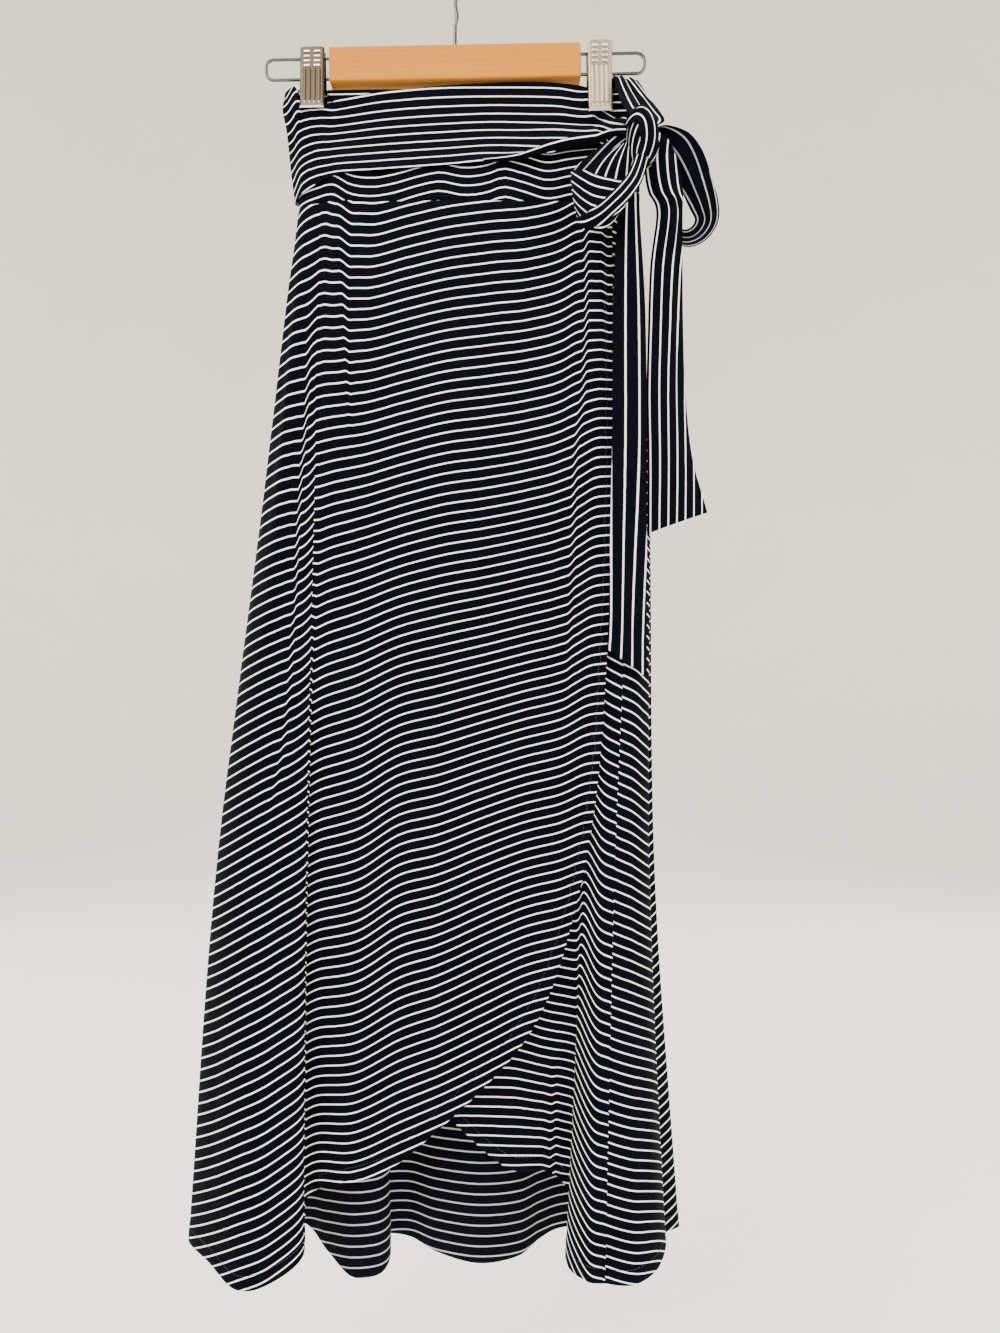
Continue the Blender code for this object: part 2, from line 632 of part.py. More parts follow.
def build_bar(finish):
    mesh = bpy.data.meshes.new("hanger_bar")
    edit = bmesh.new()
    bmesh.ops.create_cube(edit, size=1.0, matrix=Matrix.Diagonal([s * MM for s in BAR_SIZE] + [1.0]))
    bmesh.ops.translate(edit, verts=edit.verts, vec=(0, 0, BAR_MIDDLE * MM))
    edit.to_mesh(mesh)
    edit.free()
    mesh.materials.append(finish)
    bar = bpy.data.objects.new("hanger_bar", mesh)
    bpy.context.scene.collection.objects.link(bar)
    tip(bar)
    edge = bar.modifiers.new("rounded edges", "BEVEL")
    edge.width = BAR_ROUNDING * MM
    edge.segments = 2
    for side in (-1, 1):
        for level in (-1, 1):
            end = side * BAR_SIZE[0] / 2
            height = BAR_MIDDLE + level * WIRE_SPACING / 2
            bore(bar, WIRE_RADIUS + BORE_GAP, 2 * BORE_DEPTH, end, height, f"bore_{side}_{level}")


def build_wires(finish):
    """Two U-shaped wires with their ends in the bar's bores."""
    for name, side in (("wire_left", -1), ("wire_right", 1)):
        inner = BAR_SIZE[0] / 2 - BORE_DEPTH + BORE_GAP
        bend = WIRE_REACH - WIRE_CORNER
        drop = WIRE_SPACING / 2 - WIRE_CORNER
        route = [(inner, WIRE_SPACING / 2), (BAR_SIZE[0] / 2, WIRE_SPACING / 2), (bend, WIRE_SPACING / 2)]
        for angle in (67.5, 45, 22.5, 0):
            turn = math.radians(angle)
            route.append((bend + WIRE_CORNER * math.cos(turn), drop + WIRE_CORNER * math.sin(turn)))
        route += [(x, -z) for x, z in reversed(route)]
        tip(tube(name, [(side * x, 0.0, BAR_MIDDLE + z) for x, z in route], WIRE_RADIUS, finish))


def build_hook(finish):
    """The shank with its small offset, then the arc that goes over the rail."""
    foot = BAR_MIDDLE + BAR_SIZE[2] / 2 + BORE_GAP
    centre = HOOK_RADIUS - HOOK_BEND
    arc = []
    for angle in range(*HOOK_ARC):
        turn = math.radians(angle)
        arc.append((HOOK_BEND * math.cos(turn), centre + HOOK_BEND * math.sin(turn)))
    fine = along_rows([(0, foot), *HOOK_SHANK, *arc], HOOK_STEPS)
    tube("hanger_hook", [(x, 0.0, z) for x, z in fine], HOOK_RADIUS, finish)


def clip_plate(name, x, side, foot_y, top_y, foot_z, top_z, finish):
    """A pressed plate: a flat face with a rolled lip at the foot, and two cheeks bent in by the spring."""
    lip_heights, lip_out = zip(*LIP)
    heights = np.array([top_z, top_z - CHEEK_FROM, top_z - CHEEK_TO, *(foot_z + h for h in lip_heights)])
    lip = np.array([0, 0, 0, *lip_out])
    share = (heights - foot_z) / (top_z - foot_z)
    y = foot_y + (top_y - foot_y) * share + side * lip
    half = CLIP_WIDTH / 2
    mesh = bpy.data.meshes.new(name)
    edit = bmesh.new()
    rows = []
    for height, face_y in zip(heights, y):
        places = ((-half, -side * CHEEK_DEPTH), (-half, 0), (half, 0), (half, -side * CHEEK_DEPTH))
        rows.append([edit.verts.new(((x + px) * MM, (face_y + py) * MM, height * MM)) for px, py in places])
    for number, (above, below) in enumerate(zip(rows, rows[1:])):
        columns = range(3) if number == 1 else range(1, 2)
        for c in columns:
            edit.faces.new((above[c], above[c + 1], below[c + 1], below[c]))
    bmesh.ops.delete(edit, geom=[v for v in edit.verts if not v.link_faces], context="VERTS")
    bmesh.ops.recalc_face_normals(edit, faces=edit.faces)
    edit.to_mesh(mesh)
    edit.free()
    facing = sum(p.normal.y * p.area for p in mesh.polygons)
    if facing * side < 0:
        mesh.flip_normals()
    mesh.materials.append(finish)
    plate = bpy.data.objects.new(name, mesh)
    bpy.context.scene.collection.objects.link(plate)
    tip(plate)
    sheet = plate.modifiers.new("sheet", "SOLIDIFY")
    sheet.thickness = CLIP_SHEET * MM
    sheet.offset = 1.0
    sheet.use_even_offset = True


def build_clips(plate_finish, spring_finish):
    for name, row in CLIP_PLATES.items():
        clip_plate(name, *row, plate_finish)
    lower_wire = BAR_MIDDLE - WIRE_SPACING / 2
    for name, (x, radius) in SPRINGS.items():
        spring = cylinder_along_x(name, radius, SPRING_LENGTH, x, lower_wire, SPRING_SIDES, spring_finish)
        bore(spring, WIRE_RADIUS + BORE_GAP, 2 * SPRING_LENGTH, x, lower_wire, f"{name}_bore")


def main():
    clear_scene()
    jersey = material("striped_jersey", NAVY, 0.85)
    wood = material("wood", WOOD, 0.5)
    chrome = material("chrome_wire", CHROME, 0.2, 1.0)
    nickel = material("clip_metal", NICKEL, 0.35, 1.0)
    build_skirt(jersey)
    build_waistband(jersey)
    knot_shape("sash_knot", 0.0, jersey)
    cutter = knot_shape("knot_cutter", KNOT_GAP, jersey)
    hide_cutter(cutter)
    build_sash(jersey, cutter)
    ribbon("bow_loop_left", LOOP_LEFT, jersey, cutter)
    ribbon("bow_loop_right", LOOP_RIGHT, jersey, cutter)
    tail("sash_tail_long", TAIL_LONG, jersey, cutter)
    tail("sash_tail_short", TAIL_SHORT, jersey, cutter)
    build_bar(wood)
    build_wires(chrome)
    build_hook(chrome)
    build_clips(nickel, chrome)


main()
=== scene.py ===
import math

import bpy
import numpy as np
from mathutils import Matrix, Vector


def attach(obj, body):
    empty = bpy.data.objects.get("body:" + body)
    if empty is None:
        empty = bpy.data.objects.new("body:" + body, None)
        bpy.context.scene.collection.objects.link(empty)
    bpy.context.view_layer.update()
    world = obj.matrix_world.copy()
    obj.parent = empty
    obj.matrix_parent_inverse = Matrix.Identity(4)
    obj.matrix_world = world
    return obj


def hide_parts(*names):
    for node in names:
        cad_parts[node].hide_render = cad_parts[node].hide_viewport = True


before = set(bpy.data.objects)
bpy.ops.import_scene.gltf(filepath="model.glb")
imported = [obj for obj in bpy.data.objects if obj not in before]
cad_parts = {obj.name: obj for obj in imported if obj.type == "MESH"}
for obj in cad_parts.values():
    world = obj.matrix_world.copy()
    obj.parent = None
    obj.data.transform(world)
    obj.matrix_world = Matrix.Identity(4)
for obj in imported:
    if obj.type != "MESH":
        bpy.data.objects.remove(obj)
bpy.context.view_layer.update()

# ---------------------------------------------------------------------------------------------------------
# The outer front: the upper front panel of the wrap, in a soft navy jersey knitted with narrow off-white
# stripes. It is sewn to the waistband and to the left side seam, and its free edge, turned once and
# topstitched, runs down the right and curves across to the left. Tables are in millimetres.

MM = 0.001
WAIST_SEAM = -229.0
BAND_TOP = -124.0
CLIP_ZONE = -150.0  # down to here the layers lie flat together for the clips
SEAM_GAP = 0.4
SEAM_HALF_GAP = 0.015  # of a fold interval
LEVELS = np.array([WAIST_SEAM, -470.0, -820.0, -1130.0])

# One row for each fold line, in the order in which the cloth goes round from the hidden end of the under
# front. Columns: name, x at the four levels, y in the clips, y at the four levels, hem height.
FOLDS = (
    ("under edge", (-112, -108, -106, -104), 0.0, (-10, -19, -23.5, -12), -800),
    ("under left", (-80, -78, -76, -72), -0.8, (-12.5, -23, -26, -12), -935),
    ("under middle", (-30, -30, -30, -30), -1.5, (-13.5, -25, -28, -12), -990),
    ("under centre", (10, 10, 10, 10), -1.5, (-13.5, -25, -28, -11), -1034),
    ("under right", (45, 45, 48, 48), -1.5, (-13, -24, -28, -12), -1065),
    ("under panel end", (80, 84, 80, 84), -1.0, (-12.5, -22, -28, -13), -1067),
    ("recess", (112, 112, 104, 102), 0.0, (-12, -21, -28, -17), -1092),
    ("right fold edge", (126, 124, 112, 95), 0.0, (-11, -21, -30, -41), -1128),
    ("under strip", (137, 138, 124, 111), -0.3, (-9.5, -20, -34, -50), -1140),
    ("right seam", (145, 150, 136, 127), -0.8, (-8, -18, -36, -51), -1142),
    ("right lobe", (151.5, 158, 151, 150), -1.2, (-6, -15, -33, -54), -1141),
    ("right lobe side", (157, 164, 162, 171), -1.6, (-3.5, -9, -25, -40), -1137),
    ("right lobe edge", (161, 169.5, 169, 182), -1.0, (-0.5, -3, -14, -20), -1127),
    ("right notch", (162.5, 169, 168, 176), 1.2, (2.5, 2, -4, -3), -1131),
    ("right sliver", (161, 171, 177, 199), 3.0, (6, 7, 7, 14), -1131),
    ("back right corner", (152, 162, 164, 182), 3.6, (10.5, 13, 18, 33), -1140),
    ("back right", (132, 132, 134, 146), 1.6, (13, 18, 22, 47), -1150),
    ("back flute 1", (98, 98, 100, 100), 3.0, (14, 20, 24, 53), -1155),
    ("back side 1", (72, 72, 76, 77), 4.0, (14.5, 20, 22, 44), -1160),
    ("back ridge 1", (48, 50, 54, 56), 4.0, (15, 19, 20, 30), -1168),
    ("back centre", (20, 20, 20, 20), 4.0, (15, 20, 20, 26), -1172),
    ("back ridge 2", (-18, -18, -18, -18), 4.0, (15, 21, 24, 36), -1168),
    ("back flute 2", (-42, -43, -42, -44), 4.0, (14.5, 20, 26, 51), -1163),
    ("inner fold back", (-60, -60, -58, -66), 4.0, (14.5, 19.5, 26, 46), -1158),
    ("inner fold side", (-71, -70, -66, -60), 4.0, (14, 19, 23, 27), -1164),
    ("inner fold front", (-81, -80, -78, -68), 3.8, (14, 18, 20, 11), -1171),
    ("inner fold ridge", (-92, -92, -94, -92), 3.4, (13.5, 18, 19, 8), -1172),
    ("inner fold left", (-107, -110, -116, -116), 3.0, (13, 18, 22, 22), -1158),
    ("back left", (-120, -130, -142, -143), 2.8, (11, 18, 27, 40), -1142),
    ("back left corner", (-131, -150, -182, -192), 3.2, (7.5, 14, 25, 35), -1138),
    ("left silhouette", (-136.5, -164, -206, -227), 1.8, (3, 6, 11, 13), -1133),
    ("left turn", (-136.5, -166, -209, -231), -1.4, (-2, -4, -7, -9), -1131),
    ("left kink", (-133, -158, -195, -206), -3.0, (-6.5, -14, -27, -35), -1134),
    ("left ridge", (-128, -147, -173, -178), -2.8, (-9.5, -23, -42, -53), -1146),
    ("left valley", (-122.5, -134, -148, -150), -2.8, (-11, -21, -43, -54), -1140),
    ("left seam", (-116, -119, -124, -124), -2.8, (-13, -24, -36, -46), -1121),
    ("front tuck", (-110, -112, -128, -133), -2.8, (-15, -26, -27, -27), -1098),
    ("front ridge", (-99, -100, -114, -118), -3.2, (-18.5, -29, -27, -19), -1080),
    ("front valley", (-70, -76, -80, -88), -4.0, (-16, -27, -30, -18), -1075),
    ("front crease", (-38, -43, -46, -50), -4.5, (-17, -29, -33, -20), -1058),
    ("front middle", (-5, -8, -12, -12), -4.5, (-18, -30, -34, -24), -1025),
    ("front centre", (30, 28, 25, 25), -4.5, (-17.5, -30, -34, -28), -985),
    ("front right", (63, 62, 60, 60), -4.5, (-17, -29, -34, -30), -938),
    ("right valley", (90, 94, 88, 85), -3.6, (-16.5, -27, -34, -32), -900),
    ("right ridge", (117, 118, 108, 105), -1.6, (-19, -30, -34, -33), -825),
    ("wrap edge", (136, 136, 124, 122), -1.6, (-16.5, -28, -34, -33), -470),
)
FOLD_NAMES = [row[0] for row in FOLDS]
FOLD_X = np.array([row[1] for row in FOLDS], float)
CLIP_Y = np.array([row[2] for row in FOLDS], float)
FOLD_Y = np.array([row[3] for row in FOLDS], float)
HEM = np.array([row[4] for row in FOLDS], float)
RIGHT_SEAM = FOLD_NAMES.index("right seam")
LEFT_SEAM = FOLD_NAMES.index("left seam")
LAST_FOLD = len(FOLDS) - 1

# The free edge: x and height of points from the waist to the left side
WRAP_EDGE = (
    (136, WAIST_SEAM),
    (136, -350),
    (136, -470),
    (130, -620),
    (123, -720),
    (113, -790),
    (98, -855),
    (79, -914),
    (54, -957),
    (14, -1000),
    (-18, -1030),
    (-54, -1061),
    (-92, -1076),
)

# The jersey hangs most stretched at the top, so the distance from one stripe to the next falls evenly on
# the way down. STRIPE_START is the stripe, by count, that lies at the waist seam.
WAIST_PITCH = 9.87
HEM_PITCH = 7.98
MEAN_PITCH = 8.9
STRIPE_START = 0.1
# How far a stripe lies above where that pitch alone would put it, for each fold line from the left seam to
# the wrap edge. Columns: at the waist, hip, knee and hem.
FRONT_LIFT = (
    (5.1, -4.4, 1.8, 11),
    (4.4, -3.5, -5.6, -3),
    (-2.3, -0.7, 1.9, 2),
    (-7.8, 5.1, 11.6, -2),
    (0, 15, 33, 11),
    (7.7, 24.8, 42.8, 31),
    (13.2, 30.4, 58.7, 50),
    (16.5, 37.5, 73.2, 72),
    (24, 48, 80.5, 84),
    (38.5, 66.2, 88, 91),
    (36, 69.5, 89.5, 93),
)

# Lines along which the stripes step up or down within a short way, where a crease takes cloth in. Columns:
# x, height, half the way of the step, half the way in which the fold lines make it, and the step.
CREASE_STEP = (
    (-94, -229, 8, 20, -9.0),
    (-94, -270, 6, 18, -8.0),
    (-93, -322, 3, 14, -5.0),
    (-91, -370, 2, 10, -3.5),
    (-89, -410, 1.5, 8, -1.5),
    (-86, -450, 1.5, 6, 0.0),
)
FOLD_STEP = (
    (113.5, -229, 3.5, 14, 9.0),
    (113.5, -330, 2.5, 13, 8.5),
    (110, -400, 3.5, 12, 7.0),
    (104, -450, 3, 12, 6.0),
    (102, -520, 3, 12, 5.0),
    (99, -600, 3, 12, 3.0),
    (97, -680, 4, 12, 0.0),
)
EDGE_STEP = (
    (129, -229, 3, 9, -5.0),
    (129, -300, 3.5, 9, -4.0),
    (130, -380, 4, 9, 0.0),
)

# Creases and soft rolls. Columns: x and height of the upper end, x and height of the lower end, sideways
# bow, width, height (below 0 for a trough) and how crisp it is, from 0 for a soft roll to 1 for a sharp
# crease.
FRONT_CREASES = (
    (-93, -300, -84, -470, -2, 5, 0.9, 0.7),
    (-84, -440, -73, -640, 1, 6, 0.9, 0.6),
    (-74, -600, -57, -780, -2, 7, 0.8, 0.5),
    (-50, -360, -34, -640, 2, 9, 0.7, 0.4),
    (-36, -600, -26, -860, 1, 8, 0.8, 0.5),
    (-27, -820, -8, -1020, -1, 7, 0.7, 0.5),
    (-103, -232, -100, -420, 3, 10, 0.9, 0.1),
    (-71, -232, -80, -360, -2, 11, -0.9, 0.1),
    (114, -236, 108, -470, 1, 4.5, -1.6, 0.8),
    (108, -440, 98, -660, 0, 5, -1.3, 0.7),
    (125, -234, 123, -420, 1, 6, 1.3, 0.3),
    (121, -400, 116, -560, 1, 6, 0.8, 0.3),
    (32, -236, 44, -420, 3, 12, 0.6, 0.1),
    (66, -238, 60, -360, -2, 10, -0.5, 0.1),
    (12, -420, 22, -660, 3, 14, -0.6, 0.1),
    (58, -520, 66, -800, 2, 16, 0.7, 0.1),
    (-6, -700, 8, -930, 2, 14, 0.6, 0.1),
    (-94, -620, -112, -900, -4, 12, 0.9, 0.2),
    (-64, -860, -82, -1060, 2, 10, -0.7, 0.3),
    (86, -640, 74, -860, 1, 10, -0.6, 0.3),
    (36, -760, 30, -930, -2, 9, -0.5, 0.4),
    (-112, -700, -116, -1000, 2, 7, -0.8, 0.5),
)

OUTER_ROWS, OUTER_COLUMNS = 300, 150
CLOTH = 0.9  # thickness of the jersey
HEM_DEPTH = 12.0  # of the turned edge
HEM_STEP = 0.35  # by which the turned edge stands out
STITCH_PULL = (1.2, 0.35)  # width and depth of the valley that the hem's stitching draws in
SEAM_PULL = (5.0, 0.5)  # and of the one along a sewn side
WAIST_PULL = (4.0, 0.4)  # and along the waist seam
FRONT_FOLD = 26.4  # mean distance of two fold lines on the front
FOLD_WEIGHT = 12.0  # what a fold counts for, in millimetres, where the free edge is cut into even steps
STRIPE_SHARE = 0.147  # of the pitch that is off-white


def cubic(t, width, first, first_slope, last, last_slope):
    """The cubic between two values a width apart with given slopes there; t runs from 0 to 1."""
    return (
        (2 * t**3 - 3 * t**2 + 1) * first
        + (t**3 - 2 * t**2 + t) * width * first_slope
        + (3 * t**2 - 2 * t**3) * last
        + (t**3 - t**2) * width * last_slope
    )


def smooth(knots, values, at):
    """Cubic through values at knots, each slope taken from both neighbours; values may be whole rows."""
    knots = np.asarray(knots, float)
    values = np.asarray(values, float)
    at = np.asarray(at, float)
    slopes = np.gradient(values, knots, axis=0)
    span = np.clip(np.searchsorted(knots, at, side="right") - 1, 0, len(knots) - 2)
    width = knots[span + 1] - knots[span]
    t = (at - knots[span]) / width
    extra = (slice(None),) * at.ndim + (None,) * (values.ndim - 1)
    t, width = t[extra], width[extra]
    return cubic(t, width, values[span], slopes[span], values[span + 1], slopes[span + 1])


def down(columns, z):
    """The same kind of cubic between the four levels, for a column of four values at each point."""
    slopes = np.gradient(columns, LEVELS, axis=-1)
    span = 3 - np.clip(np.searchsorted(LEVELS[::-1], z, side="left"), 1, 3)
    width = LEVELS[span + 1] - LEVELS[span]
    t = (z - LEVELS[span]) / width

    def pick(array, step):
        """The column's value at the upper (0) or the lower (1) level of each point's span."""
        return np.take_along_axis(array, (span + step)[..., None], axis=-1)[..., 0]

    return cubic(t, width, pick(columns, 0), pick(slopes, 0), pick(columns, 1), pick(slopes, 1))


def lift_at(rows, fold, z):
    """A table of lifts read by fold position, counted from its first row, and by height."""
    return down(smooth(np.arange(len(rows)), np.array(rows, float), fold), z)


def skirt_point(fold, z):
    """x and y from the fold lines' cubics at this fold position, each cubic again in height."""
    order = np.arange(len(FOLDS))
    x = down(smooth(order, FOLD_X, fold), z)
    y = down(smooth(order, FOLD_Y, fold), z)
    return np.stack([x, y, z], axis=-1)


def unit(vectors):
    """Each vector divided by its length."""
    return vectors / np.linalg.norm(vectors, axis=-1, keepdims=True)


def outward(surface, fold, z):
    """Unit normal away from the hollow: the cross product of small steps along the folds and in height."""
    along = surface(fold + 0.02, z) - surface(fold - 0.02, z)
    rise = surface(fold, z + 0.5) - surface(fold, z - 0.5)
    return unit(np.cross(along, rise))


def grid_normals(points, like=None):
    """Cross product of a grid's steps in its two directions, turned to the side of `like` where given."""
    normal = np.cross(np.gradient(points, axis=1), np.gradient(points, axis=0))
    length = np.linalg.norm(normal, axis=-1, keepdims=True)
    normal = normal / np.maximum(length, 1e-9)
    if like is None:
        return normal
    facing = np.sign(np.sum(normal * like, axis=-1, keepdims=True))
    normal = normal * np.where(facing == 0, 1.0, facing)
    return np.where(length > 1e-3, normal, like)


def ease(low, high, value):
    """0 below low, 1 above high and a smooth S between them; with low above high it falls instead."""
    t = np.clip((value - low) / (high - low), 0, 1)
    return t * t * (3 - 2 * t)


def profile(off, crisp):
    """Across a crease or a pleat, by the distance off its line in widths: a bell, or a point if crisp."""
    return (1 - crisp) * np.exp(-(off**2)) + crisp * np.exp(-1.6 * off)


def creases(rows, x, z):
    """Sum over the rows of height times the profile across the crease, faded out at both of its ends; its
    line runs from end to end with a sideways bow."""
    total = np.zeros_like(x)
    for x_top, z_top, x_low, z_low, bow, width, height, crisp in rows:
        t = (z_top - z) / (z_top - z_low)
        line = x_top + (x_low - x_top) * t + bow * np.sin(np.pi * np.clip(t, 0, 1))
        fade = ease(0, 0.3, t) * ease(0, 0.3, 1 - t)
        total += height * profile(np.abs(x - line) / width, crisp) * fade
    return total


def stripe_step(rows, x, z):
    """A narrow smooth step across a line less the same step made wide, so that the lift far away stays."""
    table = np.array(rows, float)[::-1]
    line, near, far, height = (np.interp(z, table[:, 1], table[:, k]) for k in (0, 2, 3, 4))
    off = x - line
    return height * (ease(-near, near, off) - ease(-far, far, off))


def stripe_count(height):
    """Stripes passed on the way down to a height: the integral of 1 / pitch, the pitch falling evenly."""
    fall = (WAIST_PITCH - HEM_PITCH) / (LEVELS[0] - LEVELS[-1])
    return STRIPE_START - np.log(1 - fall * (LEVELS[0] - height) / WAIST_PITCH) / fall


def distance_along(points):
    """Length walked along each row of a grid, from its first column."""
    step = np.linalg.norm(np.diff(points, axis=1), axis=-1)
    return np.concatenate([np.zeros((len(points), 1)), np.cumsum(step, axis=1)], axis=1)


def read_off(values, walked, at):
    """The columns of a table whose rows lie at the lengths walked, each read straight between them."""
    return np.stack([np.interp(at, walked, column) for column in values.T], axis=-1)


def quads(number):
    """The four corners of every cell of a grid of vertex numbers."""
    corners = (number[:-1, :-1], number[:-1, 1:], number[1:, 1:], number[1:, :-1])
    return np.stack(corners, axis=-1).reshape(-1, 4)


def put_mesh(name, points, faces, finishes, uv=None, wrong_side_from=None):
    """Millimetre points and quads as an object. The signed volume, a sum of triple products over the faces'
    triangles, says whether the faces have to be turned round. Faces from number `wrong_side_from` on have
    the second finish."""
    fan = (points[faces[:, 0]], points[faces[:, 1]], points[faces[:, 2]], points[faces[:, 3]])
    volume = np.sum(fan[0] * np.cross(fan[1], fan[2])) + np.sum(fan[0] * np.cross(fan[2], fan[3]))
    if volume < 0:
        faces = faces[:, ::-1]
    mesh = bpy.data.meshes.new(name)
    mesh.from_pydata((points * MM).tolist(), [], faces.tolist())
    for finish in finishes:
        mesh.materials.append(finish)
    if wrong_side_from is not None:
        sides = np.zeros(len(faces), np.int32)
        sides[wrong_side_from:] = 1
        mesh.polygons.foreach_set("material_index", sides)
    if uv is not None:
        layer = mesh.uv_layers.new(name="cloth")
        layer.data.foreach_set("uv", uv[faces.ravel()].astype(np.float32).ravel())
    mesh.shade_smooth()
    made = bpy.data.objects.new(name, mesh)
    bpy.context.scene.collection.objects.link(made)
    return made


def cloth_shell(name, middle, normals, uv, finishes, thickness=CLOTH):
    """Cloth of one thickness: the grid moved half of it out and half of it in. The grid is first carried on
    past its edges by half a thickness, where the two sides meet in a rounded lip."""

    def carried_on(grid, reach):
        """The grid with one more row and column at each side, `reach` beyond the edge."""
        for axis in (0, 1):
            rows = np.moveaxis(grid, axis, 0)
            first, last = rows[0] - rows[1], rows[-1] - rows[-2]
            first = first / np.maximum(np.linalg.norm(first, axis=-1, keepdims=True), 1e-6)
            last = last / np.maximum(np.linalg.norm(last, axis=-1, keepdims=True), 1e-6)
            rows = np.concatenate([rows[:1] + first * reach, rows, rows[-1:] + last * reach])
            grid = np.moveaxis(rows, 0, axis)
        return grid

    grid = carried_on(middle, CLOTH / 2)
    side = np.pad(normals, ((1, 1), (1, 1), (0, 0)), mode="edge")
    cloth_uv = np.pad(uv, ((1, 1), (1, 1), (0, 0)), mode="edge")
    rows, columns = grid.shape[:2]
    depth = np.full((rows, columns, 1), thickness / 2)
    depth[0], depth[-1], depth[:, 0], depth[:, -1] = 0, 0, 0, 0
    number = np.arange(rows * columns).reshape(rows, columns)
    inner = number.copy()
    inner[1:-1, 1:-1] = rows * columns + np.arange((rows - 2) * (columns - 2)).reshape(rows - 2, -1)
    outer_points, inner_points = grid + side * depth, grid - side * depth
    points = np.concatenate([outer_points.reshape(-1, 3), inner_points[1:-1, 1:-1].reshape(-1, 3)])
    both_uv = np.concatenate([cloth_uv.reshape(-1, 2), cloth_uv[1:-1, 1:-1].reshape(-1, 2)])
    faces = np.concatenate([quads(number), quads(inner)[:, ::-1]])
    return put_mesh(name, points, faces, finishes, both_uv, len(faces) // 2)


def add_node(tree, kind, values=(), **settings):
    """A shader node with its settings, and its inputs set or linked from what `values` gives by name."""
    made = tree.nodes.new(kind)
    for key, value in settings.items():
        setattr(made, key, value)
    for key, value in dict(values).items():
        if isinstance(value, bpy.types.NodeSocket):
            tree.links.new(value, made.inputs[key])
        else:
            made.inputs[key].default_value = value
    return made


def sums(tree, operation, first, second=0.0, third=0.0, clamp=False):
    """A maths node's result."""
    inputs = {0: first, 1: second, 2: third}
    return add_node(tree, "ShaderNodeMath", inputs, operation=operation, use_clamp=clamp).outputs[0]


def blend(tree, share, first, second):
    """A colour between two, by a share from 0 to 1."""
    made = add_node(tree, "ShaderNodeMix", {0: share}, data_type="RGBA")
    for socket, value in ((made.inputs[6], first), (made.inputs[7], second)):
        if isinstance(value, bpy.types.NodeSocket):
            tree.links.new(value, socket)
        else:
            socket.default_value = (*value, 1.0)
    return made.outputs[2]


def new_finish(name):
    """An empty material and its shader and tree."""
    made = bpy.data.materials.new(name)
    made.use_nodes = True
    shader = made.node_tree.nodes["Principled BSDF"]
    return made, made.node_tree, shader


# Off-white and its shade, navy and navy worn paler, on both sides of the cloth
RIGHT_SIDE = ((0.93, 0.92, 0.86), (0.80, 0.79, 0.73), (0.0005, 0.0007, 0.0030), (0.0012, 0.0016, 0.0055))
WRONG_SIDE = ((0.50, 0.49, 0.45), (0.36, 0.36, 0.34), (0.0013, 0.0017, 0.0062), (0.0012, 0.0016, 0.0055))
STRIPE_BLUR = 0.02  # of the pitch, to each side of a stripe's edge
WALES_PER_STRIPE = 10.0  # columns of knit loops in the width of one stripe pitch
COURSES_PER_STRIPE = 13.0


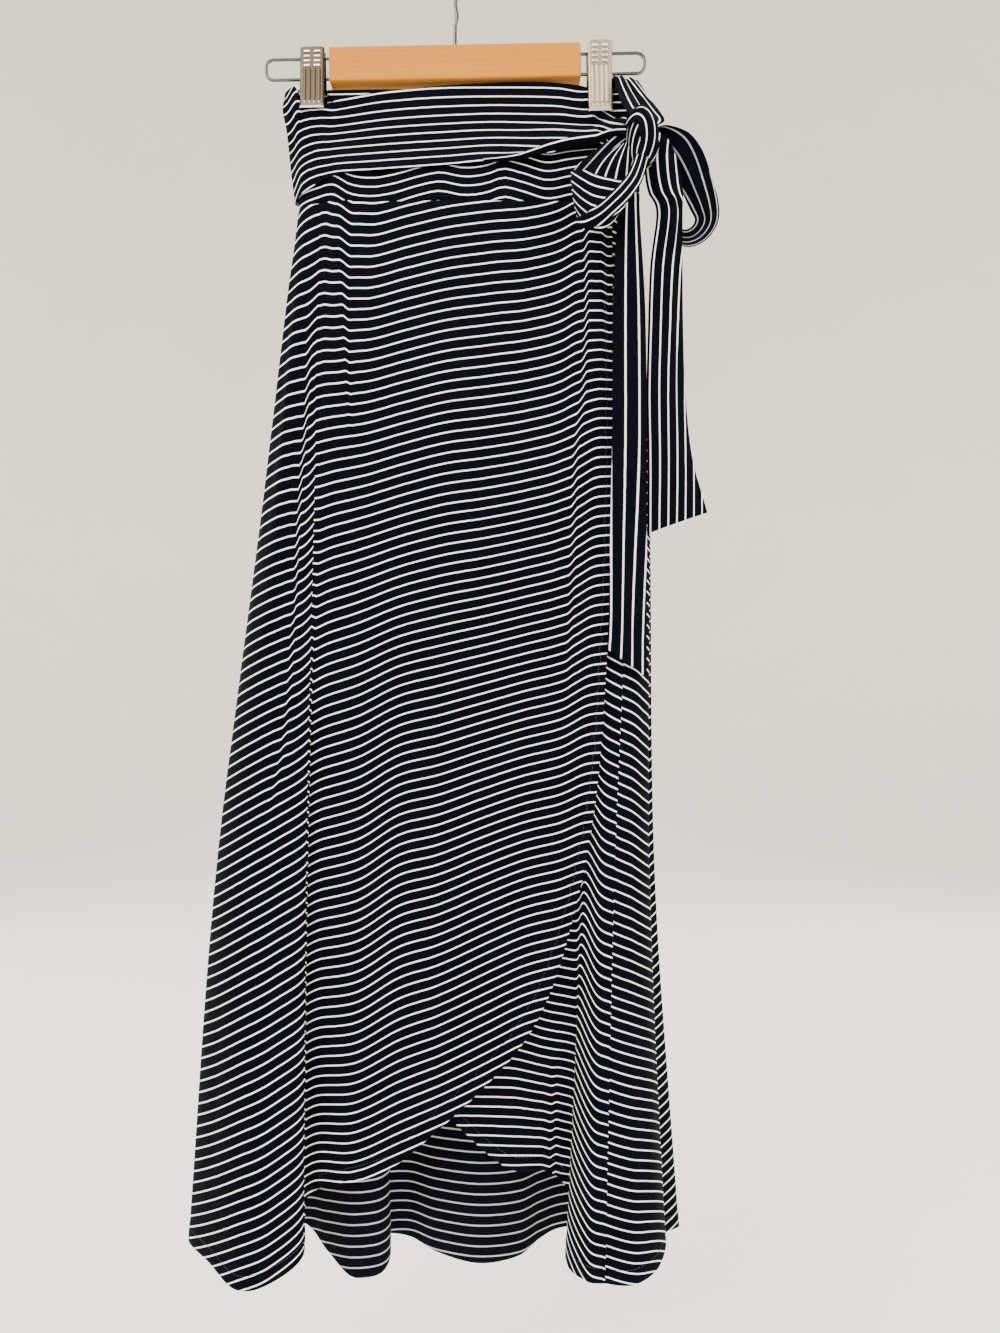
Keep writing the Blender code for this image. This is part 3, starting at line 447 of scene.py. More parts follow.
def striped_jersey(name, white, white_shade, navy, navy_worn):
    """Fine jersey. The map's v counts stripes, its u counts the same length across. A stripe is where the
    fraction of v is near a half; the knit is rows of small V shaped loops raised by a bump."""
    made, tree, shader = new_finish(name)
    uv = add_node(tree, "ShaderNodeUVMap", uv_map="cloth").outputs[0]
    axis = add_node(tree, "ShaderNodeSeparateXYZ", {0: uv})
    place = add_node(tree, "ShaderNodeTexCoord").outputs["Object"]
    wobble = add_node(tree, "ShaderNodeTexNoise", {"Vector": place, "Scale": 160.0, "Detail": 3.0})
    shake = sums(tree, "MULTIPLY_ADD", wobble.outputs["Fac"], 0.05, -0.025)
    count = sums(tree, "ADD", axis.outputs["Y"], shake)
    off = sums(tree, "ABSOLUTE", sums(tree, "SUBTRACT", sums(tree, "FRACT", count), 0.5))
    edge = add_node(
        tree,
        "ShaderNodeMapRange",
        {
            "Value": off,
            "From Min": STRIPE_SHARE / 2 + STRIPE_BLUR,
            "From Max": STRIPE_SHARE / 2 - STRIPE_BLUR,
        },
        interpolation_type="SMOOTHSTEP",
    ).outputs[0]
    wale = sums(tree, "MULTIPLY", axis.outputs["X"], WALES_PER_STRIPE)
    course = sums(tree, "MULTIPLY", axis.outputs["Y"], COURSES_PER_STRIPE)
    across = sums(tree, "ABSOLUTE", sums(tree, "SUBTRACT", sums(tree, "FRACT", wale), 0.5))
    slant = sums(tree, "ADD", course, across)
    loop = sums(tree, "SINE", sums(tree, "MULTIPLY", slant, 2 * math.pi))
    column = sums(tree, "SUBTRACT", 0.5, sums(tree, "ABSOLUTE", sums(tree, "SUBTRACT", across, 0.25)))
    knit = sums(tree, "MULTIPLY_ADD", loop, 0.25, column)
    fuzz = add_node(tree, "ShaderNodeTexNoise", {"Vector": place, "Scale": 900.0, "Detail": 2.0})
    height = sums(tree, "MULTIPLY_ADD", fuzz.outputs["Fac"], 0.5, knit)
    wear = add_node(tree, "ShaderNodeTexNoise", {"Vector": place, "Scale": 22.0, "Detail": 5.0})
    worn = sums(tree, "MULTIPLY_ADD", wear.outputs["Fac"], 0.9, -0.05, clamp=True)
    dark = blend(tree, worn, navy, navy_worn)
    light = blend(tree, sums(tree, "MULTIPLY", fuzz.outputs["Fac"], 0.8), white, white_shade)
    colour = blend(tree, edge, dark, light)
    tree.links.new(colour, shader.inputs["Base Color"])
    bump = add_node(tree, "ShaderNodeBump", {"Height": height, "Strength": 0.35, "Distance": 0.0003})
    tree.links.new(bump.outputs[0], shader.inputs["Normal"])
    rough = sums(tree, "MULTIPLY_ADD", wear.outputs["Fac"], 0.12, 0.80)
    tree.links.new(rough, shader.inputs["Roughness"])
    shader.inputs["Sheen Weight"].default_value = 0.01
    shader.inputs["Sheen Roughness"].default_value = 0.5
    shader.inputs["Specular IOR Level"].default_value = 0.03
    return made


jersey = striped_jersey("jersey right side", *RIGHT_SIDE)
jersey_wrong = striped_jersey("jersey wrong side", *WRONG_SIDE)


def edge_fold(x, z, first, last):
    """Fold position, between first and last, at which the cloth comes nearest to x at height z."""
    folds = np.linspace(first, last, 400)
    return folds[np.argmin(np.abs(skirt_point(folds, np.full_like(folds, z))[:, 0] - x))]


def even_steps(curve, count):
    """Points at even distances along a polyline."""
    walked = distance_along(curve[None])[0]
    return read_off(curve, walked, np.linspace(0.0, walked[-1], count))


def front_ends(count):
    """Fold position and height of the free edge at even steps, from the waist to the left seam."""
    crossings = [(edge_fold(x, z, LEFT_SEAM + 2.0, LAST_FOLD), z) for x, z in WRAP_EDGE]
    crossings += [(fold, HEM[fold]) for fold in (LEFT_SEAM + 2, LEFT_SEAM + 1, LEFT_SEAM)]
    knots = np.arange(len(crossings))
    fine = smooth(knots, np.array(crossings), np.linspace(0, knots[-1], 1200))
    fine[:, 1] = np.minimum.accumulate(fine[:, 1])
    ends = even_steps(fine * (FOLD_WEIGHT, 1.0), count) / (FOLD_WEIGHT, 1.0)
    ends[0, 1] = WAIST_SEAM - SEAM_GAP / 2
    ends[:, 0] = np.maximum(ends[:, 0], LEFT_SEAM + SEAM_HALF_GAP + 0.02)
    return ends


def from_edge(fold, z, edge):
    """Distance to the nearest point of an edge given by fold position and height, in millimetres."""
    scale = np.array([FRONT_FOLD, 1.0])
    places = np.stack([fold, z], axis=-1)[..., None, :] * scale
    return np.min(np.linalg.norm(places - edge * scale, axis=-1), axis=-1)


def valley(off, width, depth):
    """A small valley with the profile of a bell, by the distance off its middle."""
    return -depth * np.exp(-((off / width) ** 2))


def turned_hem(gap):
    """A hem by the distance from its edge: raised up to the stitching, and drawn in along it."""
    raised = HEM_STEP * ease(HEM_DEPTH + 1.0, HEM_DEPTH - 1.0, gap)
    return raised + valley(gap - HEM_DEPTH, *STITCH_PULL)


ends = front_ends(OUTER_ROWS)
seam_fold = LEFT_SEAM + SEAM_HALF_GAP
share = np.linspace(0, 1, OUTER_COLUMNS)
fold = seam_fold + (ends[:, :1] - seam_fold) * share
z = np.repeat(ends[:, 1:], OUTER_COLUMNS, axis=1)
flat_front = skirt_point(fold, z)
side = outward(skirt_point, fold, z)
along = distance_along(flat_front)
edge_gap = from_edge(fold, z, ends[::6])
relief = (
    creases(FRONT_CREASES, flat_front[..., 0], z)
    + valley(along, *SEAM_PULL)
    + valley(WAIST_SEAM - z, *WAIST_PULL)
    + turned_hem(edge_gap)
)
front_middle = flat_front + side * relief[..., None]
front_side = grid_normals(front_middle, side)
lift = lift_at(FRONT_LIFT, fold - LEFT_SEAM, z)
for step in (CREASE_STEP, FOLD_STEP, EDGE_STEP):
    lift += stripe_step(step, flat_front[..., 0], z)
uv = np.stack([distance_along(front_middle) / MEAN_PITCH, stripe_count(z - lift)], axis=-1)
front_cloth = cloth_shell("front_cloth", front_middle, front_side, uv, (jersey, jersey_wrong))
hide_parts("outer_front")
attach(front_cloth, "root")

# ---------------------------------------------------------------------------------------------------------
# The under front: the lower front panel of the wrap, cut like the outer one and turned over. Only its lower
# corner and a strip at the right show. Same jersey, its hem turned once and topstitched.

# Stripe lift for the fold lines from the under edge to the right seam; same columns as for the outer front
UNDER_LIFT = (
    (10, 12, 20, 10),
    (10, 12, 20, 10),
    (10, 12, 20, 12),
    (10, 12, 20, 12),
    (10, 14, 21, 10),
    (10, 12, 6, 16),
    (16, 14, 1, 15),
    (15, 14, 9, -4),
    (20, 14, -8, -33),
    (15, 8, -14, -40),
)
# Columns of this table and the next as for the steps and the creases of the outer front
UNDER_STEP = (
    (87, -960, 3, 11, 0.0),
    (86, -1000, 3, 11, 4.0),
    (85, -1060, 3.5, 11, 7.0),
    (83, -1140, 3.5, 11, 9.0),
)
UNDER_CREASES = (
    (20, -820, 26, -1030, 2, 7, 0.7, 0.3),
    (50, -860, 58, -1060, -2, 8, -0.7, 0.3),
    (74, -780, 70, -1060, 2, 8, 0.8, 0.4),
    (92, -700, 94, -1080, 1, 6, -0.8, 0.5),
    (-40, -400, -30, -760, 3, 14, 0.4, 0.0),
    (30, -380, 34, -700, -3, 14, -0.4, 0.0),
    (-8, -860, -14, -1000, 2, 8, 0.5, 0.3),
)
UNDER_GRID = (180, 100)


def hanging_grid(first, last, rows, columns):
    """Fold position and height of a grid whose columns follow the fold lines from waist seam to hem."""
    fold = np.linspace(first, last, columns)[None, :]
    hem = smooth(np.arange(len(FOLDS)), HEM, fold[0])[None, :]
    top = WAIST_SEAM - SEAM_GAP / 2
    z = top + (hem - top) * np.linspace(0, 1, rows)[:, None]
    return np.repeat(fold, rows, axis=0), z, z - hem


def hanging_cloth(name, first, last, grid, lifts, relief_of, step_of):
    """A hanging panel: the skirt's surface moved along its normal by the creases, the seam valleys at both
    sides and at the waist, and the turned hem. The table of lifts starts at the fold line by `first`."""
    fold, z, above_hem = hanging_grid(first, last, *grid)
    flat = skirt_point(fold, z)
    side = outward(skirt_point, fold, z)
    along = distance_along(flat)
    relief = (
        relief_of(flat[..., 0], z, fold)
        + valley(along, *SEAM_PULL)
        + valley(along[:, -1:] - along, *SEAM_PULL)
        + valley(WAIST_SEAM - z, *WAIST_PULL)
        + turned_hem(above_hem)
    )
    middle = flat + side * relief[..., None]
    facing = grid_normals(middle, side)
    lift = lift_at(lifts, fold - round(first), z) + step_of(flat[..., 0], z, fold)
    uv = np.stack([distance_along(middle) / MEAN_PITCH, stripe_count(z - lift)], axis=-1)
    made = cloth_shell(name, middle, facing, uv, (jersey, jersey_wrong))
    return made, middle, facing, above_hem


under_cloth, under_middle, under_side, under_above = hanging_cloth(
    "under_cloth",
    0,
    RIGHT_SEAM - SEAM_HALF_GAP,
    UNDER_GRID,
    UNDER_LIFT,
    lambda x, z, fold: creases(UNDER_CREASES, x, z),
    lambda x, z, fold: stripe_step(UNDER_STEP, x, z),
)
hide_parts("under_front")
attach(under_cloth, "root")

# ---------------------------------------------------------------------------------------------------------
# The back panel: wider than the fronts, so both side seams are pulled round to the front and it makes the
# two flared lobes at the sides, and the longest hem. It hangs in loose flutes behind.

# Stripe lift from the right seam round the back to the left seam; same columns
BACK_LIFT = (
    (-36, -42, -48, -54),
    (-44, -46, -55, -58),
    (-48, -50, -63, -64),
    (-52, -55, -69, -76),
    (-54, -60, -72, -86),
    (-50, -57, -66, -75),
    (-44, -50, -62, -80),
    (-34, -42, -60, -92),
    (-26, -36, -60, -98),
    (-20, -32, -60, -100),
    (-15, -29, -60, -102),
    (-12, -27, -60, -103),
    (-10, -26, -60, -103),
    (-9, -27, -61, -103),
    (-8, -26, -60, -102),
    (-7, -26, -60, -101),
    (-6, -26, -60, -101),
    (-6, -26, -61, -102),
    (-5, -26, -63, -106),
    (-4, -26, -66, -112),
    (-2, -26, -71, -120),
    (0.3, -26.9, -76.2, -126),
    (-4, -31.8, -76.5, -119.8),
    (-1.8, -29.6, -68.5, -104),
    (1.3, -26.7, -55.7, -88),
    (3.7, -21, -42.5, -77),
    (4.7, -5.7, -28, -58),
)
# The deep crease of the left lobe; same columns as for the steps of the outer front
LOBE_STEP = (
    (-118, -275, 5, 9, 0.0),
    (-121, -314, 4.5, 9, 2.5),
    (-124, -345, 4, 9, 4.5),
    (-126, -390, 3, 9, 7.0),
    (-128.6, -428, 2.2, 9, 8.5),
    (-130.5, -454, 2, 9, 8.8),
    (-132.2, -480, 1.8, 9, 8.5),
    (-133.7, -505, 1.8, 9, 8.0),
    (-134.4, -539, 1.8, 9, 6.5),
    (-134.8, -574, 2, 9, 6.0),
    (-137.2, -608, 2.5, 10, 5.0),
    (-139.6, -659, 2.5, 10, 4.0),
    (-143.7, -698, 2.5, 10, 4.0),
    (-149.5, -732, 2.5, 10, 2.5),
    (-155, -765, 3, 10, 0.0),
)
# Creases by fold position instead of x. Columns: fold and height of the upper end, fold and height of the
# lower end, sideways bow in folds, width in folds, height and crispness.
BACK_CREASES = (
    (33.7, -300, 34.3, -480, 0.1, 0.28, -1.5, 0.9),
    (34.2, -430, 34.1, -640, 0.0, 0.25, -1.4, 0.8),
    (34.0, -600, 33.7, -800, 0.0, 0.3, -1.2, 0.6),
    (32.6, -280, 32.9, -560, 0.1, 0.5, 0.9, 0.2),
    (33.0, -620, 32.8, -980, 0.1, 0.4, -0.9, 0.4),
    (32.1, -900, 31.9, -1120, 0.0, 0.35, -1.4, 0.7),
    (34.6, -760, 34.7, -1110, 0.0, 0.3, 0.9, 0.4),
    (33.4, -940, 33.3, -1130, 0.1, 0.4, 0.8, 0.3),
    (31.2, -420, 31.0, -760, 0.1, 0.4, -0.8, 0.4),
    (31.0, -260, 31.6, -420, 0.0, 0.5, 0.8, 0.2),
    (9.6, -640, 9.7, -900, 0.0, 0.3, 0.8, 0.4),
    (10.2, -760, 10.4, -1130, 0.1, 0.3, -1.0, 0.6),
    (10.9, -980, 11.0, -1130, 0.0, 0.35, 1.0, 0.3),
    (11.6, -840, 11.8, -1120, 0.0, 0.4, -0.8, 0.4),
    (13.2, -500, 13.4, -1000, 0.2, 0.5, -0.8, 0.4),
    (15.5, -300, 15.3, -760, 0.2, 0.5, 0.9, 0.3),
    (16.5, -420, 16.7, -980, -0.2, 0.5, -0.9, 0.5),
    (17.6, -260, 17.4, -640, 0.2, 0.5, 0.8, 0.2),
    (18.5, -620, 18.6, -1140, 0.1, 0.45, 1.0, 0.4),
    (19.6, -300, 19.4, -700, -0.1, 0.4, -0.8, 0.5),
    (20.5, -560, 20.3, -1120, 0.2, 0.6, 0.9, 0.2),
    (21.5, -280, 21.7, -760, 0.2, 0.5, 0.8, 0.3),
    (22.4, -640, 22.3, -1150, 0.0, 0.4, -0.9, 0.5),
    (23.4, -360, 23.5, -900, 0.1, 0.5, 0.8, 0.3),
    (24.6, -760, 24.5, -1150, 0.0, 0.4, 0.8, 0.3),
    (25.6, -880, 25.5, -1160, 0.1, 0.4, -0.8, 0.5),
    (26.5, -320, 26.7, -820, -0.1, 0.5, 0.8, 0.3),
    (27.6, -840, 27.5, -1140, 0.1, 0.4, 0.9, 0.3),
    (28.5, -300, 28.7, -720, 0.1, 0.4, -0.9, 0.4),
    (29.4, -520, 29.3, -1100, 0.1, 0.4, 0.9, 0.3),
)
BACK_GRID = (180, 250)


def lobe_step(x, z, fold):
    """The crease's step, on the front of the left lobe alone."""
    return stripe_step(LOBE_STEP, x, z) * ease(LEFT_SEAM - 4.5, LEFT_SEAM - 3.5, fold)


def back_relief(x, z, fold):
    """The creases, read by fold position."""
    return creases(BACK_CREASES, fold, z)


back_cloth, back_middle, back_side, back_above = hanging_cloth(
    "back_cloth",
    RIGHT_SEAM + SEAM_HALF_GAP,
    LEFT_SEAM - SEAM_HALF_GAP,
    BACK_GRID,
    BACK_LIFT,
    back_relief,
    lobe_step,
)
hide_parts("back_panel")
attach(back_cloth, "root")

# ---------------------------------------------------------------------------------------------------------
# The waistband: one strip of the same jersey that goes round one and a half times and is sewn to the top
# edges of the three panels. The clips press its layers together; below them it stands as wide as the skirt.

# The dip of the band's front at the left clip: x, height. It starts this many folds before the left seam.
BAND_DIP = ((-137, -135), (-125, -143), (-100, -136), (-75, -130), (0, BAND_TOP), (170, BAND_TOP))
DIP_LEAD = 3.5
# The band's stripes ripple where the gathered front pulls on it: x, how far a stripe lies above its mean
BAND_RIPPLE = (
    (-137, -12),
    (-131, -8),
    (-118, 0),
    (-104, 0),
    (-91.5, -7),
    (-72.6, -9),
    (-51, -6),
    (-32, -0.5),
    (-13, 3),
    (8.5, -0.5),
    (30, 2.5),
    (41, 6.5),
    (58, 3.5),
    (79, -2.5),
    (101, 0.5),
    (130, 4),
    (170, 4),
)
BAND_FOLDS = (
    (-112, -185, -104, -229, 1, 9, 0.7, 0.0),
    (-72, -180, -74, -229, 1, 12, -0.7, 0.0),
    (-14, -176, -12, -229, 1, 12, 0.5, 0.0),
    (40, -170, 42, -229, 1, 10, 0.8, 0.1),
    (79, -165, 80, -229, 1, 11, -0.7, 0.0),
)
BAND_PITCH = 7.3
BAND_COUNT = ((124, 17.0), (150, 20.55), (185, 25.9), (240, 32.4))  # depth below the origin, stripe there
RIPPLE_ZONE = (-150, -185)  # heights between which the ripple sets in
RIPPLE_BEHIND = 0.35  # of the front's ripple
BAND_GRID = (36, 240)
TIE_CLOTH = 0.8  # thickness of the jersey where it is pulled tight


def band_point(fold, z):
    """Flat together in the clips, as far apart as the skirt at the waist seam, with a smooth change."""
    order = np.arange(len(FOLDS))
    x = smooth(order, FOLD_X[:, 0], fold)
    y_clip = smooth(order, CLIP_Y, fold)
    y_seam = smooth(order, FOLD_Y[:, 0], fold)
    share = ease(0, 1, np.clip((CLIP_ZONE - z) / (CLIP_ZONE - WAIST_SEAM), 0, 1))
    return np.stack([x, y_clip + (y_seam - y_clip) * share, z], axis=-1)


def band_top(fold):
    """Height of the band's upper edge, which dips at the left clip on the outer layer only."""
    x = band_point(fold, np.full_like(fold, WAIST_SEAM))[:, 0]
    knots, heights = zip(*BAND_DIP)
    return np.where(fold > LEFT_SEAM - DIP_LEAD, np.interp(x, knots, heights), BAND_TOP)


rows, columns = BAND_GRID
fold = np.linspace(0, LAST_FOLD, columns)
bottom = WAIST_SEAM + SEAM_GAP / 2
z = bottom + (band_top(fold)[None, :] - bottom) * np.linspace(0, 1, rows)[:, None]
fold = np.repeat(fold[None, :], rows, axis=0)
flat_band = band_point(fold, z)
side = outward(band_point, fold, z)
in_front = ease(LEFT_SEAM - 1, LEFT_SEAM + 1, fold)
relief = creases(BAND_FOLDS, flat_band[..., 0], z) * in_front + valley(z - WAIST_SEAM, *WAIST_PULL)
band_middle = flat_band + side * relief[..., None]
knots, ripples = zip(*BAND_RIPPLE)
ripple = smooth(knots, np.array(ripples, float), np.clip(flat_band[..., 0], knots[0], knots[-1]))
ripple = ripple * ease(*RIPPLE_ZONE, z) * (RIPPLE_BEHIND + (1 - RIPPLE_BEHIND) * in_front)
counted = np.interp(ripple - z, *np.array(BAND_COUNT).T)
uv = np.stack([distance_along(band_middle) / BAND_PITCH, counted], axis=-1)
facing = grid_normals(band_middle, side)
band_cloth = cloth_shell("band_cloth", band_middle, facing, uv, (jersey, jersey_wrong), TIE_CLOTH)
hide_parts("waistband")
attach(band_cloth, "root")

# ---------------------------------------------------------------------------------------------------------
# The sash over the band: the wide tie, wound once round the waist on top of the band, gathered into the
# knot at the front right, its lower edge rolling under there. Its other end comes over the top of the band.

# One row for each station from the front right to the back right. Columns: position on the fold lines,
# heights of the upper and lower edge, and how far each edge stands out from the band.
SASH_ON_BAND = (
    (44.5, -136, -183, 1.8, 10.0),
    (44.0, -124, -184, 1.7, 9.0),
    (43.0, -121, -188, 2.0, 8.0),
    (42.0, -120.5, -192, 2.0, 6.0),
    (41.0, -121.5, -196, 2.0, 4.5),
    (40.0, -123.5, -199, 2.0, 3.5),
    (39.0, -126.5, -201, 2.0, 3.2),
    (38.0, -130, -203, 2.5, 3.0),
    (37.0, -136, -207, 3.5, 3.0),
    (35.4, -141, -211, 5.0, 3.0),
    (34.0, -143, -215, 5.6, 3.0),
    (32.6, -141, -219, 5.2, 3.0),
    (31.5, -132, -222, 7.0, 3.2),
    (30.6, -122, -224, 11.0, 3.4),
    (29.9, -120, -223, 4.4, 3.2),
    (29.2, -122, -221, 2.4, 3.0),
    (28.4, -122.5, -219, 2.0, 3.0),
    (27.3, -122, -216, 2.0, 3.0),
    (26.0, -123, -211, 2.0, 3.0),
    (23.0, -123, -207, 2.0, 3.0),
    (21.0, -122, -206, 2.0, 3.0),
    (19.0, -121, -204, 2.0, 3.0),
    (17.6, -121, -201, 2.0, 3.2),
    (16.6, -122, -196, 1.8, 3.6),
    (16.0, -122, -190, 1.7, 4.0),
)
# Its front end and its back end. Columns: upper edge x, y, z and lower edge x, y, z.
SASH_FRONT_END = (
    (153, -34, -170, 153, -36, -183),
    (147, -24, -161, 145, -31, -182),
    (139, -5.5, -151, 133, -27, -182),
)
SASH_BACK_END = (
    (138.5, 3.4, -121, 151, 13, -178),
    (139, 3.2, -115.5, 161, 13.5, -140),
    (139, -1.0, -114, 159, 5, -117),
    (139, -9, -117, 160, -7, -120),
    (140, -15, -129, 168, -17, -140),
    (144, -25, -150, 176, -26, -157),
    (149, -30, -160, 179, -30, -167),
    (154, -34, -170, 170, -35.5, -175),
)
SASH_RAILS = (0.0, 0.28, 0.62, 1.0)
# Fold positions given to the stations of the two ends, so that tables below can be read all along the sash
FRONT_END_FOLDS = (46.2, 45.7, 45.1)
BACK_END_FOLDS = (15.4, 14.8, 14.2, 13.6, 13.0, 12.4, 11.8, 11.2)
# Which stripe lies at the upper and at the lower edge: position on the fold lines, stripe, stripe
SASH_STRIPES = (
    (11.2, -2.9, 0.1),
    (13.0, -2.9, 1.1),
    (16.0, -2.9, 5.5),
    (19.0, -2.9, 7.2),
    (26.0, -2.8, 8.0),
    (29.0, -2.85, 9.0),
    (30.3, -2.85, 9.15),
    (30.95, -2.8, 9.1),
    (31.3, -2.0, 9.2),
    (31.75, -0.8, 9.45),
    (32.25, 0.0, 9.85),
    (33.0, 0.5, 10.0),
    (34.0, 0.6, 10.0),
    (35.0, 0.55, 9.8),
    (36.2, 0.12, 9.5),
    (37.5, -0.14, 9.22),
    (39.0, -0.12, 9.15),
    (40.0, -0.27, 9.16),
    (41.0, -0.5, 9.15),
    (42.0, -0.62, 8.45),
    (43.0, -0.58, 7.86),
    (44.0, -0.38, 7.3),
    (44.5, 1.0, 7.1),
    (45.1, 2.0, 5.8),
    (46.2, 1.5, 4.8),
)
# Pleats along the sash. Columns: where they run on the fold lines, from and to, place across the sash at
# both ends (0 is its upper edge), width of that share, height and crispness.
SASH_PLEATS = (
    (46.2, 43.0, 0.22, 0.18, 0.07, 1.4, 0.3),
    (46.2, 42.2, 0.46, 0.40, 0.06, 1.5, 0.4),
    (46.2, 41.2, 0.70, 0.62, 0.06, 1.5, 0.4),
    (46.2, 42.8, 0.34, 0.30, 0.05, -1.2, 0.5),
    (46.2, 41.8, 0.58, 0.50, 0.05, -1.2, 0.5),
    (45.8, 40.4, 0.84, 0.90, 0.05, -1.6, 0.6),
    (45.8, 40.2, 0.93, 0.97, 0.04, 1.2, 0.3),
    (39.4, 34.6, 0.05, 0.16, 0.05, -0.9, 0.7),
    (38.6, 34.8, 0.14, 0.24, 0.06, 0.8, 0.3),
    (34.8, 31.0, 0.30, 0.38, 0.08, 0.7, 0.2),
    (32.0, 29.4, 0.18, 0.18, 0.17, 3.4, 0.0),
    (34.2, 31.4, 0.56, 0.62, 0.07, -0.7, 0.4),
    (33.8, 31.0, 0.80, 0.78, 0.07, 0.8, 0.2),
    (41.0, 37.0, 0.55, 0.50, 0.09, 0.35, 0.0),
    (27.0, 19.0, 0.30, 0.34, 0.06, 0.7, 0.3),
    (24.0, 16.5, 0.62, 0.58, 0.06, -0.7, 0.5),
    (29.0, 22.0, 0.78, 0.74, 0.07, 0.7, 0.2),
    (17.2, 11.2, 0.30, 0.35, 0.08, 1.3, 0.4),
    (17.0, 11.2, 0.52, 0.54, 0.06, -1.3, 0.6),
    (16.8, 11.2, 0.76, 0.72, 0.08, 1.3, 0.4),
)
SASH_GRID = (72, 300)
# How the upper edge is drawn in where the sash turns round the left end: fold position, spread, rise
SASH_CORNER = ((30.55, 0.42, -6.5), (31.4, 0.32, 5.0))


def along_rows(table, steps):
    """The rows of a table as smooth curves, read off at even steps of the row number."""
    last = len(table) - 1
    return smooth(np.arange(last + 1), np.array(table, float), np.linspace(0, last, steps))


def sash_stations():
    """Points of the sash on its rails: straight across at its ends, moved out from the band elsewhere."""
    rails = np.array(SASH_RAILS)

    def straight(row):
        """The rails' shares of the straight way from the upper edge to the lower one."""
        upper, lower = np.array(row[:3]), np.array(row[3:])
        return upper + (lower - upper) * rails[:, None]

    stations = [straight(row) for row in SASH_FRONT_END]
    for fold, z_upper, z_lower, out_upper, out_lower in SASH_ON_BAND:
        z = z_upper + (z_lower - z_upper) * rails
        out = out_upper + (out_lower - out_upper) * rails**2
        at = np.full_like(z, fold)
        stations.append(band_point(at, z) + outward(band_point, at, z) * out[:, None])
    stations += [straight(row) for row in SASH_BACK_END]
    return np.array(stations)


def pleats(rows, at, across):
    """Sum over the rows of height times the profile across the strip, faded out at both ends."""
    total = np.zeros_like(at)
    for start, end, place_start, place_end, width, height, crisp in rows:
        t = (at - start) / (end - start)
        line = place_start + (place_end - place_start) * np.clip(t, 0, 1)
        fade = ease(-0.02, 0.12, t) * ease(0, 0.35, 1 - t)
        total += height * profile(np.abs(across - line) / width, crisp) * fade
    return total


rows, columns = SASH_GRID
lengthwise = along_rows(sash_stations(), columns)
share = np.linspace(0, 1, rows)
flat_sash = smooth(SASH_RAILS, lengthwise.transpose(1, 0, 2), share)
station_folds = [*FRONT_END_FOLDS, *(row[0] for row in SASH_ON_BAND), *BACK_END_FOLDS]
at = along_rows([(f,) for f in station_folds], columns)[:, 0]
at = np.repeat(at[None, :], rows, axis=0)
across = np.repeat(share[:, None], columns, axis=1)
side = grid_normals(flat_sash)
sash_middle = flat_sash + side * pleats(SASH_PLEATS, at, across)[..., None]
for place, spread, rise in SASH_CORNER:
    sash_middle[..., 2] += rise * np.exp(-(((at - place) / spread) ** 2)) * ease(0.3, 0.0, across)
positions, upper, lower = (np.array(column, float) for column in zip(*SASH_STRIPES))
first_stripe, last_stripe = smooth(positions, upper, at), smooth(positions, lower, at)
stripe = first_stripe + (last_stripe - first_stripe) * across - 0.5
uv = np.stack([distance_along(sash_middle) / BAND_PITCH, stripe], axis=-1)
facing = grid_normals(sash_middle, side)
sash_cloth = cloth_shell("sash_cloth", sash_middle, facing, uv, (jersey, jersey_wrong), TIE_CLOTH)
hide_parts("sash_wrap")
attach(sash_cloth, "root")

# Its lower edge rolls up on the way to the knot. Columns: x, y, z of the roll's middle and its radius.
ROLL_LINE = (
    (25.8, -18.5, -194.8, 1.2),
    (43.9, -19, -193.7, 1.8),
    (56.8, -19.5, -192.0, 2.3),
    (69.6, -19.5, -188.0, 2.8),
    (82.5, -19.5, -183.9, 3.1),
    (95.3, -19.5, -180.5, 3.3),
    (108.1, -20, -178.8, 3.5),
    (122.5, -22, -177.9, 3.5),
    (129.8, -26, -177.4, 3.3),
    (137.6, -32, -178.5, 3.0),
    (146.1, -38.5, -181.3, 2.6),
)
ROLL_GRID = (40, 150)
ROLL_REACH = 2.8  # radians round the roll to each side of the front
ROLL_STRIPES = 1.15  # in half a turn
ROLL_FRONT = (0.0, -1.0, 0.3)  # the way that its front faces
ROLL_CLOTH = 0.7  # thickness


def square_to(run, way):
    """The unit vectors square to each direction of a run that come nearest to one way."""
    way = np.array(way) + np.zeros_like(run)
    return unit(way - run * np.sum(way * run, axis=1, keepdims=True))


rows, columns = ROLL_GRID
roll = along_rows(ROLL_LINE, columns)
run = unit(np.gradient(roll[:, :3], axis=0))
front = square_to(run, ROLL_FRONT)
round_it = np.linspace(-ROLL_REACH, ROLL_REACH, rows)[:, None] + np.zeros((1, columns))
facing = np.cos(round_it)[..., None] * front + np.sin(round_it)[..., None] * np.cross(front, run)
roll_middle = roll[None, :, :3] + facing * roll[None, :, 3:]
uv = np.stack([distance_along(roll_middle) / BAND_PITCH, 0.5 + ROLL_STRIPES * round_it / math.pi], axis=-1)
sash_roll = cloth_shell("sash_roll", roll_middle, facing, uv, (jersey, jersey_wrong), ROLL_CLOTH)
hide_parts("sash_wrap")
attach(sash_roll, "root")

# ---------------------------------------------------------------------------------------------------------
# The knot: the tie's two ends crossed once, in the same jersey. A strap with lengthwise stripes goes over
# the front of a core of pulled-in pleats, where the stripes slant. Pulled tight by hand.

